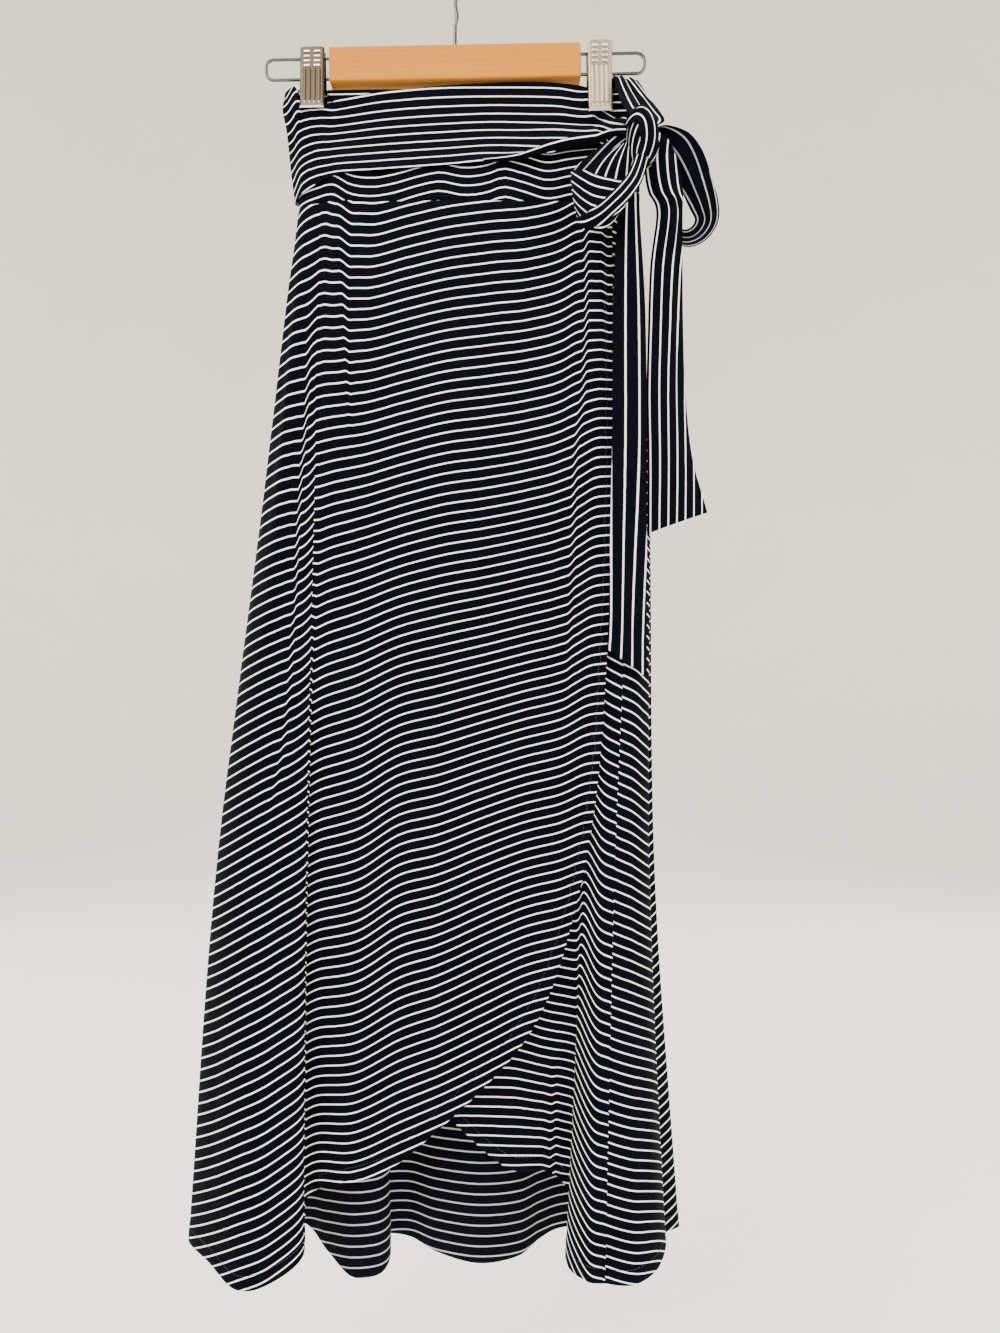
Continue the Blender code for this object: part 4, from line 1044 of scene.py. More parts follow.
KNOT_MIDDLE = (159.5, -37.0, -187.0)
KNOT_HALF = (14.5, 13.0, 26.0)
KNOT_RIDGES = 3
KNOT_RIDGE_RISE = 0.05
KNOT_RIDGE_TWIST = 1.2
CORE_SHARE = 0.97  # of the knot's half sizes
KNOT_PLEATS = 5  # pulled in round the core
KNOT_PLEAT_DEPTH = 0.045
KNOT_PLEAT_SLANT = 0.9
KNOT_STRIPES = (2.2, 1.5)  # for a radian round the core and for a radian down it
KNOT_GRID = (64, 120)
STRAP_OUT = 1.05  # of the core's surface
STRAP_CROWN = 0.06
STRAP_RIDGES = (0.03, 1.2)  # their rise, and how many lie between the middle and an edge
STRAP_STRIPES = (1.2, 0.05)  # stripes between the middle and an edge, and where the middle lies
STRAP_CLOTH = 1.0  # thickness
STRAP_GRID = (96, 48)
# The strap's middle line over the knot. Columns: direction from the knot's middle as x, y, z in shares of
# its half sizes, and half the strap's width in radians.
STRAP_PATH = (
    (-0.86, -0.20, 0.46, 0.26),
    (-0.66, -0.42, 0.62, 0.34),
    (-0.42, -0.58, 0.70, 0.42),
    (-0.11, -0.74, 0.66, 0.50),
    (0.17, -0.87, 0.46, 0.56),
    (0.31, -0.94, 0.14, 0.58),
    (0.31, -0.93, -0.22, 0.54),
    (0.17, -0.82, -0.54, 0.46),
    (-0.08, -0.55, -0.83, 0.38),
    (-0.22, -0.20, -0.95, 0.30),
)


def knot_surface(polar, turn, grow):
    """An ellipsoid whose radius rises and falls in broad ridges that twist from top to bottom."""
    phase = KNOT_RIDGES * turn + KNOT_RIDGE_TWIST * np.cos(polar)
    ridge = 1 + KNOT_RIDGE_RISE * np.cos(phase) * np.sin(polar)
    direction = np.stack(
        [np.sin(polar) * np.cos(turn) * ridge, np.sin(polar) * np.sin(turn) * ridge, np.cos(polar)], axis=-1
    )
    return np.array(KNOT_MIDDLE) + np.array(KNOT_HALF) * grow * direction


def ring_quads(rows, columns):
    """The cells of a grid whose last column joins its first one."""
    number = np.arange(rows * columns).reshape(rows, columns)
    return quads(np.concatenate([number, number[:, :1]], axis=1))


rows, columns = KNOT_GRID
polar = np.linspace(0.004, math.pi - 0.004, rows)[:, None] + np.zeros((1, columns))
turn = np.linspace(0, 2 * math.pi, columns, endpoint=False)[None, :] + np.zeros((rows, 1))
pleat = np.sin(KNOT_PLEATS / 2 * (turn + KNOT_PLEAT_SLANT * polar))
pulled_in = KNOT_PLEAT_DEPTH * np.exp(-((pleat / 0.5) ** 2)) * np.sin(polar)
core = knot_surface(polar, turn, (CORE_SHARE - pulled_in)[..., None])
slant = turn * KNOT_STRIPES[0] + polar * KNOT_STRIPES[1]
uv = np.stack([polar * KNOT_HALF[2] / BAND_PITCH, slant], axis=-1).reshape(-1, 2)
knot_core = put_mesh("knot_core", core.reshape(-1, 3), ring_quads(rows, columns), (jersey,), uv)
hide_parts("sash_knot")

rows, columns = STRAP_GRID
path = along_rows(STRAP_PATH, rows)
toward = unit(path[:, :3])
aside = unit(np.cross(np.gradient(toward, axis=0), toward))
over = np.linspace(-1, 1, columns)[None, :] + np.zeros((rows, 1))
angle = (path[:, 3:] * over)[..., None]
direction = toward[:, None] * np.cos(angle) + aside[:, None] * np.sin(angle)
ridges = STRAP_RIDGES[0] * np.cos(2 * math.pi * STRAP_RIDGES[1] * over)
grow = STRAP_OUT + ridges + STRAP_CROWN * (1 - over**2)
strap_middle = np.array(KNOT_MIDDLE) + np.array(KNOT_HALF) * direction * grow[..., None]
facing = grid_normals(strap_middle, strap_middle - np.array(KNOT_MIDDLE))
walked = distance_along(strap_middle.transpose(1, 0, 2)).T
uv = np.stack([walked / BAND_PITCH, STRAP_STRIPES[0] * over + STRAP_STRIPES[1]], axis=-1)
knot_strap = cloth_shell("knot_strap", strap_middle, facing, uv, (jersey, jersey_wrong), STRAP_CLOTH)
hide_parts("sash_knot")
for piece in (knot_core, knot_strap):
    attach(piece, "root")

# ---------------------------------------------------------------------------------------------------------
# The bow's two loops: the tie doubled back into the knot, gathered small where it enters it and open in
# between. The left loop hangs forward with its mouth up and comes back over its own front in a narrow
# strap; the right one is seen from its edge.

LOOP_CROWN = 1.5
GATHERED_SHARE = 0.45  # of a loop's stripes that show where it leaves the knot
LOOP_OPENS = (0.04, 0.40)  # shares of its length between which the others come out
LOOP_TURNS = (0.60, 0.42)  # and between which its stripes lie moved across before it turns back
# A row for each station of the ribbon from the knot round and back to it. Columns: middle of the ribbon
# x, y, z, half its width, and the direction of its width as x, y, z.
LOOP_LEFT = (
    (156, -38, -184, 8, 0.1, 0.2, 1.0),
    (145, -36, -188, 9, 0.1, 0.1, 1.0),
    (129, -33, -202, 17, 0.1, 0.15, 1.0),
    (113, -33, -220, 22, 0.0, 0.15, 1.0),
    (103.5, -38, -232, 21, -0.1, 0.15, 1.0),
    (102.5, -48, -238, 21, -0.1, 0.1, 1.0),
    (109, -57, -245, 22, 0.0, 0.0, 1.0),
    (122, -60, -251, 22, 0.1, 0.0, 1.0),
    (136, -57, -249, 19, 0.3, 0.0, 1.0),
    (147, -51, -236, 13, 0.4, 0.0, 1.0),
    (154, -45, -216, 9, 0.4, 0.0, 1.0),
    (160, -42, -200, 8, 0.4, 0.0, 1.0),
)
LOOP_RIGHT = (
    (163, -31, -180, 8, -0.2, 0.8, 0.4),
    (176, -28.5, -176, 8.5, -0.35, 0.9, -0.2),
    (191.5, -27, -186, 13, -0.5, 0.8, -0.45),
    (201, -24, -199.5, 15, -0.6, 0.7, -0.4),
    (208.5, -22, -217, 15, -0.65, 0.75, -0.2),
    (215.5, -20, -235, 14, -0.65, 0.7, 0.05),
    (217.5, -18, -246, 13, -0.6, 0.65, 0.4),
    (213.5, -15, -254, 12, -0.4, 0.55, 0.7),
    (206, -12.5, -258.5, 11.5, -0.1, 0.5, 0.85),
    (197.5, -10.5, -257.5, 11, 0.2, 0.5, 0.8),
    (190, -9.5, -248, 10.5, 0.5, 0.65, 0.5),
    (187, -11, -231, 10, 0.55, 0.7, 0.25),
    (182.5, -15, -210, 9, 0.45, 0.8, 0.2),
    (172, -22, -196, 8, 0.1, 0.9, 0.4),
    (163, -29, -188, 7, 0.1, 0.8, 0.5),
)
LOOP_RETURN = (
    (104, -58.5, -266, 4.0, -0.2, 0.0, 0.98),
    (111, -62, -266.5, 6.0, -0.3, 0.0, 0.95),
    (121, -64, -262, 7.0, -0.45, 0.0, 0.89),
    (131.4, -63.5, -253, 7.2, -0.65, 0.0, 0.76),
    (141.3, -60.5, -242, 7.2, -0.75, 0.0, 0.66),
    (149.5, -56, -230, 6.6, -0.85, 0.0, 0.53),
    (154.4, -51, -218, 6.0, -0.9, 0.0, 0.44),
    (158, -47, -206, 5.5, -0.95, 0.0, 0.3),
)
# The left loop's gathered back, in its mouth. Columns: left edge x, y, z, right edge x, y, z, and the bulge
# of the middle.
LOOP_INSIDE = (
    (140, -38.5, -192, 150, -39.5, -190, 0.5),
    (130, -38.5, -199, 151, -40, -200, 1.0),
    (121, -38.5, -208, 152, -40.5, -210, 1.5),
    (114, -39, -219, 152.5, -41, -221, 1.5),
    (112, -39.5, -230, 152, -41, -232, 1.0),
)
# Pleats. Columns: from and to along the ribbon (0 to 1), place across it at both ends (-1 is one edge, 1
# the other), width of that, height and crispness.
LEFT_PLEATS = (
    (0.0, 0.34, -0.45, -0.55, 0.16, 1.3, 0.4),
    (0.0, 0.30, 0.05, 0.0, 0.16, -1.3, 0.5),
    (0.0, 0.36, 0.50, 0.60, 0.16, 1.2, 0.4),
    (1.0, 0.66, -0.50, -0.62, 0.16, 1.4, 0.4),
    (1.0, 0.62, 0.0, -0.10, 0.14, -1.5, 0.6),
    (1.0, 0.68, 0.50, 0.45, 0.16, 1.3, 0.4),
    (0.44, 0.72, -0.30, -0.40, 0.20, 0.8, 0.2),
    (0.40, 0.66, 0.35, 0.25, 0.16, -0.8, 0.4),
)
RIGHT_PLEATS = (
    (0.0, 0.40, -0.40, -0.45, 0.20, 1.1, 0.4),
    (0.0, 0.46, 0.15, 0.10, 0.16, -1.2, 0.6),
    (0.0, 0.42, 0.55, 0.60, 0.20, 1.0, 0.4),
    (1.0, 0.56, -0.35, -0.45, 0.20, 1.1, 0.4),
    (1.0, 0.60, 0.25, 0.15, 0.16, -1.1, 0.6),
    (0.38, 0.66, 0.40, 0.30, 0.20, 0.8, 0.3),
)
LOOP_GRID = (50, 170)
RETURN_GRID = (24, 90)
INSIDE_GRID = (32, 44)
TAIL_GRID = (44, 210)
TAIL_OPENS = (0.55, 0.9)  # a tail that opens at its lower end does so between these shares of its length
OPENED_LEFT = 0.23  # of the stripes that it shows more then, how many move in from the left edge


def tie_strip(name, node, middle, rows_of_pleats, along, over, stripes, offset):
    """A strip of the tie: its middle surface moved along its normals by the pleats. The stripes run along
    it, so the map's v is the place across it times the number of stripes, which may change along it."""
    side = grid_normals(middle)
    middle = middle + side * pleats(rows_of_pleats, along, over)[..., None]
    uv = np.stack([distance_along(middle) / BAND_PITCH, over * stripes / 2 + offset], axis=-1)
    facing = grid_normals(middle, side)
    made = cloth_shell(name, middle, facing, uv, (jersey, jersey_wrong), TIE_CLOTH)
    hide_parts(node)
    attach(made, "root")


def loop_cloth(name, node, stations, rows_of_pleats, stripes, offset, turned=0.0, grid=LOOP_GRID):
    """Points along the width's direction on both sides of the middle line, with a crown between the edges.
    Where it leaves the knot the pleats hide half of the stripes. Before it turns back, the stripes lie
    `turned` of them further across."""
    rows, columns = grid
    table = along_rows(stations, columns)
    middle, half, width = table[:, :3], table[:, 3], unit(table[:, 4:])
    over = np.linspace(-1, 1, rows)[:, None, None]
    points = middle[None] + width[None] * half[None, :, None] * over
    points = points + grid_normals(points) * LOOP_CROWN * (1 - over**2)
    along = np.repeat(np.linspace(0, 1, columns)[None, :], rows, axis=0)
    over = np.repeat(over[..., 0], columns, axis=1)
    shown = stripes * (GATHERED_SHARE + (1 - GATHERED_SHARE) * ease(*LOOP_OPENS, along))
    shift = offset - turned * ease(*LOOP_TURNS, along)
    tie_strip(name, node, points, rows_of_pleats, along, over, shown, shift)


def tail_cloth(
    name, node, stations, rows_of_pleats, offset, stripes=0.0, pitch=None, opened=0.0, grid=TAIL_GRID
):
    """Straight across between two edges, the middle bulging forwards as a parabola. With a pitch the
    stripes are counted from the left edge, so that their number follows the width. A tail that has opened
    at its lower end shows that many stripes more there."""
    rows, columns = grid
    table = along_rows(stations, columns)
    left, right, bulge = table[:, :3], table[:, 3:6], table[:, 6]
    share = np.linspace(0, 1, rows)[:, None, None]
    points = left[None] + (right - left)[None] * share
    points[..., 1] -= bulge[None] * (1 - (2 * share[..., 0] - 1) ** 2)
    along = np.repeat(np.linspace(0, 1, columns)[None, :], rows, axis=0)
    over = np.repeat(2 * share[..., 0] - 1, columns, axis=1)
    if pitch is not None:
        stripes = (np.linalg.norm(right - left, axis=1) / pitch)[None, :]
        offset = offset + stripes / 2
    more = opened * ease(*TAIL_OPENS, along)
    stripes = stripes + more
    offset = offset + OPENED_LEFT * more
    tie_strip(name, node, points, rows_of_pleats, along, over, stripes, offset)


loop_cloth(
    "left_loop",
    "bow_loop_left",
    LOOP_LEFT,
    LEFT_PLEATS,
    stripes=5.4,
    offset=0.0,
    turned=1.0,
)
loop_cloth(
    "loop_return",
    "bow_loop_left",
    LOOP_RETURN,
    (),
    stripes=2.7,
    offset=0.55,
    grid=RETURN_GRID,
)
tail_cloth(
    "loop_inside",
    "bow_loop_left",
    LOOP_INSIDE,
    (),
    stripes=4.4,
    offset=0.1,
    grid=INSIDE_GRID,
)
loop_cloth(
    "right_loop", "bow_loop_right", LOOP_RIGHT, RIGHT_PLEATS, stripes=3.6, offset=0.1
)

# ---------------------------------------------------------------------------------------------------------
# The two hanging ends of the tie: single strips of the same jersey, their stripes running down, pleated
# where they leave the knot and cut at a slant at the bottom.

# A row for each height. Columns: left edge x, y, z, right edge x, y, z, and the bulge of the middle.
TAIL_LONG = (
    (151, -37, -196, 161, -37, -196, 1.0),
    (145, -39, -216, 156, -38, -216, 2.5),
    (139, -39, -250, 157.5, -36, -250, 3.5),
    (135, -38, -330, 162.5, -33, -330, 4.0),
    (134.5, -37, -430, 164, -31, -430, 4.0),
    (133, -37, -520, 164, -31, -520, 4.0),
    (131.5, -38, -590, 164, -31, -600, 4.0),
    (130, -38, -616, 164, -31, -640, 4.0),
)
TAIL_SHORT = (
    (164, -38, -182, 172, -38, -180, 0.5),
    (163, -37, -191, 183, -36, -188, 2.0),
    (162, -33, -200, 188, -31, -196, 4.0),
    (163, -31, -214, 193, -29, -212, 5.0),
    (166, -30, -228, 195.5, -27, -227, 5.0),
    (173, -29, -245, 195.5, -25, -245, 5.0),
    (168, -28, -290, 196, -22, -290, 5.0),
    (166, -27, -350, 197, -20, -348, 5.0),
    (165, -27, -400, 199, -19, -395, 5.0),
    (166, -26, -460, 205, -18, -450, 5.0),
    (166, -25, -517, 218, -18, -498, 4.0),
)
LONG_PLEATS = (
    (0.0, 0.75, -0.40, -0.50, 0.20, 1.2, 0.4),
    (0.0, 0.60, 0.10, 0.0, 0.14, -1.1, 0.6),
    (0.05, 0.90, 0.50, 0.45, 0.20, 1.0, 0.4),
    (0.55, 1.0, -0.1, 0.35, 0.16, -1.0, 0.6),
    (0.60, 1.0, -0.6, -0.5, 0.20, 0.8, 0.2),
)
SHORT_PLEATS = (
    (0.0, 0.60, -0.45, -0.55, 0.18, 1.2, 0.4),
    (0.0, 0.80, 0.0, -0.20, 0.14, -1.2, 0.6),
    (0.08, 0.95, 0.40, 0.25, 0.18, 1.1, 0.4),
    (0.30, 1.0, 0.60, 0.62, 0.14, -0.9, 0.5),
    (0.70, 1.0, -0.5, -0.6, 0.2, 0.9, 0.2),
)

tail_cloth(
    "long_end",
    "sash_tail_long",
    TAIL_LONG,
    LONG_PLEATS,
    stripes=2.5,
    offset=0.85,
    opened=1.1,
)
tail_cloth(
    "short_end",
    "sash_tail_short",
    TAIL_SHORT,
    SHORT_PLEATS,
    pitch=8.05,
    offset=0.21,
)

# ---------------------------------------------------------------------------------------------------------
# The topstitching of the hems: one row of navy polyester thread, sewn through both layers of each turned
# edge at the hem's depth. Only the stitches on the right side are made, one spindle each.

STITCH = 2.6  # length of one stitch
STITCH_STEP = 3.3
STITCH_OUT = 0.1  # how far the thread's middle lies off the cloth
THREAD = 0.22  # radius
STITCH_RINGS = np.array([0.0, 0.5, 1.0])  # places of its rings along a stitch
STITCH_SWELL = np.array([0.35, 1.0, 0.35])  # of the thread's radius


def thread_finish():
    """Navy polyester thread with a fine twist along it."""
    made, tree, shader = new_finish("navy thread")
    place = add_node(tree, "ShaderNodeTexCoord").outputs["Object"]
    twist = add_node(tree, "ShaderNodeTexNoise", {"Vector": place, "Scale": 1500.0, "Detail": 2.0})
    colour = blend(tree, twist.outputs["Fac"], (0.010, 0.012, 0.035), (0.030, 0.034, 0.070))
    tree.links.new(colour, shader.inputs["Base Color"])
    bump = add_node(
        tree, "ShaderNodeBump", {"Height": twist.outputs["Fac"], "Strength": 0.5, "Distance": 0.0001}
    )
    tree.links.new(bump.outputs[0], shader.inputs["Normal"])
    shader.inputs["Roughness"].default_value = 0.55
    return made


thread = thread_finish()


def stitch_row(name, line, facing):
    """A small spindle for each stitch: rings of six points round the line from its start to its end."""
    walked = distance_along(line[None])[0]
    starts = np.arange(STITCH_STEP, walked[-1] - STITCH_STEP, STITCH_STEP)
    at = starts[:, None] + STITCH * STITCH_RINGS[None, :]
    centre = read_off(line, walked, at)
    out = unit(read_off(facing, walked, at))
    run = unit(centre[:, -1:] - centre[:, :1]) + np.zeros_like(centre)
    across = np.cross(run, out)
    centre = centre + out * (CLOTH / 2 + STITCH_OUT)
    angles = np.linspace(0, 2 * math.pi, 6, endpoint=False)
    swell = (THREAD * STITCH_SWELL)[None, :, None, None]
    ring = np.cos(angles)[:, None] * out[:, :, None] + np.sin(angles)[:, None] * across[:, :, None]
    points = (centre[:, :, None] + ring * swell).reshape(-1, 3)
    number = np.arange(len(points)).reshape(len(starts), len(STITCH_RINGS), 6)
    number = np.concatenate([number, number[:, :, :1]], axis=2)
    tube = np.stack([number[:, :-1, :-1], number[:, :-1, 1:], number[:, 1:, 1:], number[:, 1:, :-1]], -1)
    caps = [number[:, end][:, order] for end, order in ((0, [3, 2, 1, 0]), (0, [5, 4, 3, 0]))]
    caps += [number[:, end][:, order] for end, order in ((-1, [0, 1, 2, 3]), (-1, [0, 3, 4, 5]))]
    faces = np.concatenate([tube.reshape(-1, 4), *caps])
    made = put_mesh(name, points, faces, (thread,))
    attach(made, "root")


def row_at(middle, facing, height, level):
    """The line on a grid at which a height, given for each point and falling down each column, is level."""
    below = np.argmax(height < level, axis=0)
    column = np.arange(middle.shape[1])
    high, low = height[below - 1, column], height[below, column]
    share = ((high - level) / (high - low))[:, None]
    line = middle[below - 1, column] * (1 - share) + middle[below, column] * share
    return line, facing[below, column]


# On the outer front the row follows the free edge: for each row of the grid, the column at the hem's depth,
# where it has one.
near = np.argmax(edge_gap < HEM_DEPTH, axis=1)
whole = near > 2
line = front_middle[np.arange(OUTER_ROWS), near][whole]
facing = front_side[np.arange(OUTER_ROWS), near][whole]
keep = slice(None, None, 3)
stitch_row("front_hem_stitches", line[keep], facing[keep])
stitch_row("under_hem_stitches", *row_at(under_middle, under_side, under_above, HEM_DEPTH))
stitch_row("back_hem_stitches", *row_at(back_middle, back_side, back_above, HEM_DEPTH))

# ---------------------------------------------------------------------------------------------------------
# The hanger's bar: one piece of light varnished wood, planed square with its edges eased, its grain running
# along it. It hangs a degree higher on the right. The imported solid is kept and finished.

BAR_SIZE = (220.0, 17.0, 30.0)
BAR_MIDDLE = -103.0
BAR_TIP = 1.07  # degrees
WOOD_LIGHT = (0.60, 0.245, 0.026)
WOOD_MID = (0.47, 0.165, 0.016)
WOOD_DARK = (0.25, 0.080, 0.010)


def wood_finish():
    """Long grain: noise drawn out along the bar, thin dark lines where it crosses a level, small pores."""
    made, tree, shader = new_finish("varnished wood")
    place = add_node(tree, "ShaderNodeTexCoord").outputs["Object"]
    long = add_node(tree, "ShaderNodeMapping", {"Vector": place, "Scale": (5.0, 60.0, 60.0)}).outputs[0]
    warp = add_node(tree, "ShaderNodeTexNoise", {"Vector": long, "Scale": 1.4, "Detail": 4.0})
    growth = add_node(
        tree,
        "ShaderNodeTexWave",
        {"Vector": long, "Scale": 1.1, "Distortion": 5.0, "Detail": 3.0, "Detail Scale": 1.2},
        bands_direction="Z",
    )
    fine_place = add_node(tree, "ShaderNodeMapping", {"Vector": place, "Scale": (40.0, 900.0, 900.0)})
    fine = add_node(
        tree, "ShaderNodeTexNoise", {"Vector": fine_place.outputs[0], "Scale": 1.0, "Detail": 4.0}
    )
    pore_place = add_node(tree, "ShaderNodeMapping", {"Vector": place, "Scale": (60.0, 1400.0, 1400.0)})
    pores = add_node(
        tree, "ShaderNodeTexVoronoi", {"Vector": pore_place.outputs[0], "Scale": 0.9}
    ).outputs["Distance"]
    pore = add_node(
        tree, "ShaderNodeMapRange", {"Value": pores, "From Min": 0.22, "From Max": 0.05}
    ).outputs[0]
    base = blend(tree, warp.outputs["Fac"], WOOD_LIGHT, WOOD_MID)
    ringed = blend(tree, sums(tree, "MULTIPLY", growth.outputs["Fac"], 0.45), base, WOOD_MID)
    grained = blend(tree, sums(tree, "MULTIPLY", fine.outputs["Fac"], 0.35), ringed, WOOD_DARK)
    colour = blend(tree, sums(tree, "MULTIPLY", pore, 0.5), grained, WOOD_DARK)
    tree.links.new(colour, shader.inputs["Base Color"])
    height = sums(tree, "MULTIPLY_ADD", pore, -0.6, fine.outputs["Fac"])
    bump = add_node(tree, "ShaderNodeBump", {"Height": height, "Strength": 0.25, "Distance": 0.0002})
    tree.links.new(bump.outputs[0], shader.inputs["Normal"])
    rough = sums(tree, "MULTIPLY_ADD", fine.outputs["Fac"], 0.18, 0.30)
    tree.links.new(rough, shader.inputs["Roughness"])
    shader.inputs["Specular IOR Level"].default_value = 0.06
    shader.inputs["Coat Weight"].default_value = 0.01
    shader.inputs["Coat Roughness"].default_value = 0.3
    return made


wood = wood_finish()
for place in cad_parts["hanger_bar"].material_slots:
    place.material = wood

# ---------------------------------------------------------------------------------------------------------
# The wires and the hook: round chromed steel wire. Two U shapes carry the clips, their ends pushed into the
# bar; the hook is screwed into the bar's top and swivels there.

WIRE_RADIUS = 1.5
WIRE_SPACING = 18.0
WIRE_REACH = 166.5
WIRE_CORNER = 7.0
BORE_DEPTH = 24.0
BORE_GAP = 0.3
HOOK_RADIUS = 1.7
HOOK_BEND = 19.0
HOOK_ARC = (-40, 201, 16)  # first and last angle from +X and the step, in degrees
HOOK_SHANK = ((0, -76), (0.3, -68), (1.6, -62), (1.6, -57), (0.4, -51), (1.0, -45), (6, -38.5))
WIRE_SIDES = 24
CHROME = (0.13, 0.127, 0.12)
CHROME_WORN = (0.07, 0.068, 0.064)
PAINTED_SHADE_SHARE = 0.12  # of the colour that is left where shade is painted in full
# Painted highlight: the pale colour laid on the clips' raised crests and the foot's rim.
HIGHLIGHT_PAINT = (0.86, 0.83, 0.76)


def metal_finish(name, colour, colour_worn, rough, rough_worn, scratch):
    """Bare metal: fine scratches drawn out along one direction and slow patches of duller polish. On the
    clips, attributes paint shade into the colour beside the reliefs and at the turned sides, and paint
    highlights on raised crests and the foot's rim."""
    made, tree, shader = new_finish(name)
    place = add_node(tree, "ShaderNodeTexCoord").outputs["Object"]
    drawn = add_node(tree, "ShaderNodeMapping", {"Vector": place, "Scale": scratch}).outputs[0]
    lines = add_node(tree, "ShaderNodeTexNoise", {"Vector": drawn, "Scale": 1.0, "Detail": 3.0})
    patch = add_node(tree, "ShaderNodeTexNoise", {"Vector": place, "Scale": 90.0, "Detail": 4.0})
    tone = sums(tree, "MULTIPLY", lines.outputs["Fac"], patch.outputs["Fac"])
    colour_out = blend(tree, sums(tree, "MULTIPLY", tone, 1.6, clamp=True), colour, colour_worn)
    # Painted shade: the base colour darkens where the clips' attribute for it is high.
    hollow = add_node(tree, "ShaderNodeAttribute", attribute_name="hollow").outputs["Fac"]
    colour_out = blend(tree, hollow, colour_out, tuple(PAINTED_SHADE_SHARE * part for part in colour))
    # Painted highlight: the colour turns pale where the clips' attribute for it is high.
    crest = add_node(tree, "ShaderNodeAttribute", attribute_name="crest").outputs["Fac"]
    colour_out = blend(tree, crest, colour_out, HIGHLIGHT_PAINT)
    tree.links.new(colour_out, shader.inputs["Base Color"])
    rough_out = sums(tree, "MULTIPLY_ADD", tone, rough_worn - rough, rough)
    tree.links.new(rough_out, shader.inputs["Roughness"])
    bump = add_node(
        tree, "ShaderNodeBump", {"Height": lines.outputs["Fac"], "Strength": 0.12, "Distance": 0.0001}
    )
    tree.links.new(bump.outputs[0], shader.inputs["Normal"])
    shader.inputs["Metallic"].default_value = 1.0
    return made


chrome = metal_finish("chromed wire", CHROME, CHROME_WORN, 0.10, 0.35, (1600.0, 1600.0, 1600.0))


def tipped(points):
    """Turned with the bar about the foot of the hook: a rotation about Y."""
    turn = math.radians(BAR_TIP)
    foot = BAR_MIDDLE + BAR_SIZE[2] / 2
    x, z = points[..., 0], points[..., 2] - foot
    return np.stack(
        [
            x * math.cos(turn) - z * math.sin(turn),
            points[..., 1],
            x * math.sin(turn) + z * math.cos(turn) + foot,
        ],
        axis=-1,
    )


def rings(route, run, out, size, sides):
    """Rings of points round a route, each across its direction `run` there and begun on the side of `out`:
    the middle plus the size times cosine of `out` and sine of the third direction."""
    angles = np.linspace(0, 2 * math.pi, sides, endpoint=False)[:, None]
    ring = np.cos(angles) * out[:, None] + np.sin(angles) * np.cross(run, out)[:, None]
    return route[:, None] + ring * size[:, None, None]


def wire(name, route, radius):
    """Rings round a route, its two ends closed by rings that shrink to a point."""
    run = unit(np.gradient(route, axis=0))
    out = square_to(run, (0.0, 1.0, 0.0))
    steps = np.array([0, *range(len(route)), len(route) - 1])
    size = np.full(len(steps), radius)
    size[0] = size[-1] = radius * 0.02
    points = rings(route[steps], run[steps], out[steps], size, WIRE_SIDES)
    return put_mesh(name, points.reshape(-1, 3), ring_quads(len(steps), WIRE_SIDES), (chrome,))


for label, side_x in (("left", -1), ("right", 1)):
    inner = BAR_SIZE[0] / 2 - BORE_DEPTH + BORE_GAP
    bend = WIRE_REACH - WIRE_CORNER
    drop = WIRE_SPACING / 2 - WIRE_CORNER
    corner = np.radians(np.linspace(90, 0, 14))
    upper = np.stack([bend + WIRE_CORNER * np.cos(corner), drop + WIRE_CORNER * np.sin(corner)], axis=1)
    upper = np.concatenate([[(inner, WIRE_SPACING / 2), (BAR_SIZE[0] / 2, WIRE_SPACING / 2)], upper])
    outline = np.concatenate([upper, upper[::-1] * (1, -1)])
    route = np.stack(
        [side_x * outline[:, 0], np.zeros(len(outline)), BAR_MIDDLE + outline[:, 1]], axis=1
    )
    made = wire(f"chrome_wire_{label}", tipped(route), WIRE_RADIUS)
    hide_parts(f"wire_{label}")
    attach(made, "root")

hook_centre = HOOK_RADIUS - HOOK_BEND
hook_foot = BAR_MIDDLE + BAR_SIZE[2] / 2 + BORE_GAP
arc = np.radians(np.arange(*HOOK_ARC))
arc = np.stack([HOOK_BEND * np.cos(arc), hook_centre + HOOK_BEND * np.sin(arc)], axis=1)
line = along_rows([(0, hook_foot), *HOOK_SHANK, *arc.tolist()], 140)
route = np.stack([line[:, 0], np.zeros(len(line)), line[:, 1]], axis=1)
hook = wire("chrome_hook", route, HOOK_RADIUS)
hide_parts("hanger_hook")
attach(hook, "root")

# ---------------------------------------------------------------------------------------------------------
# The clips: on each side two plates pressed from nickelled steel sheet and a coil spring on the lower wire.
# The plates have louvres for the fingers above and long ribs below, and a lip rolled out at the foot.

CLIP_WIDTH = 20.5
CLIP_SHEET = 0.9
CLIP_BEND = 1.2  # radius at which the sides turn in
CHEEK_FROM, CHEEK_TO = 4.0, 31.0  # below the top
CHEEK_DEPTH = 2.4  # there
SIDE_DEPTH = 0.4  # above and below
CLIP_LEFT_X = -125.0
CLIP_RIGHT_X = 126.5
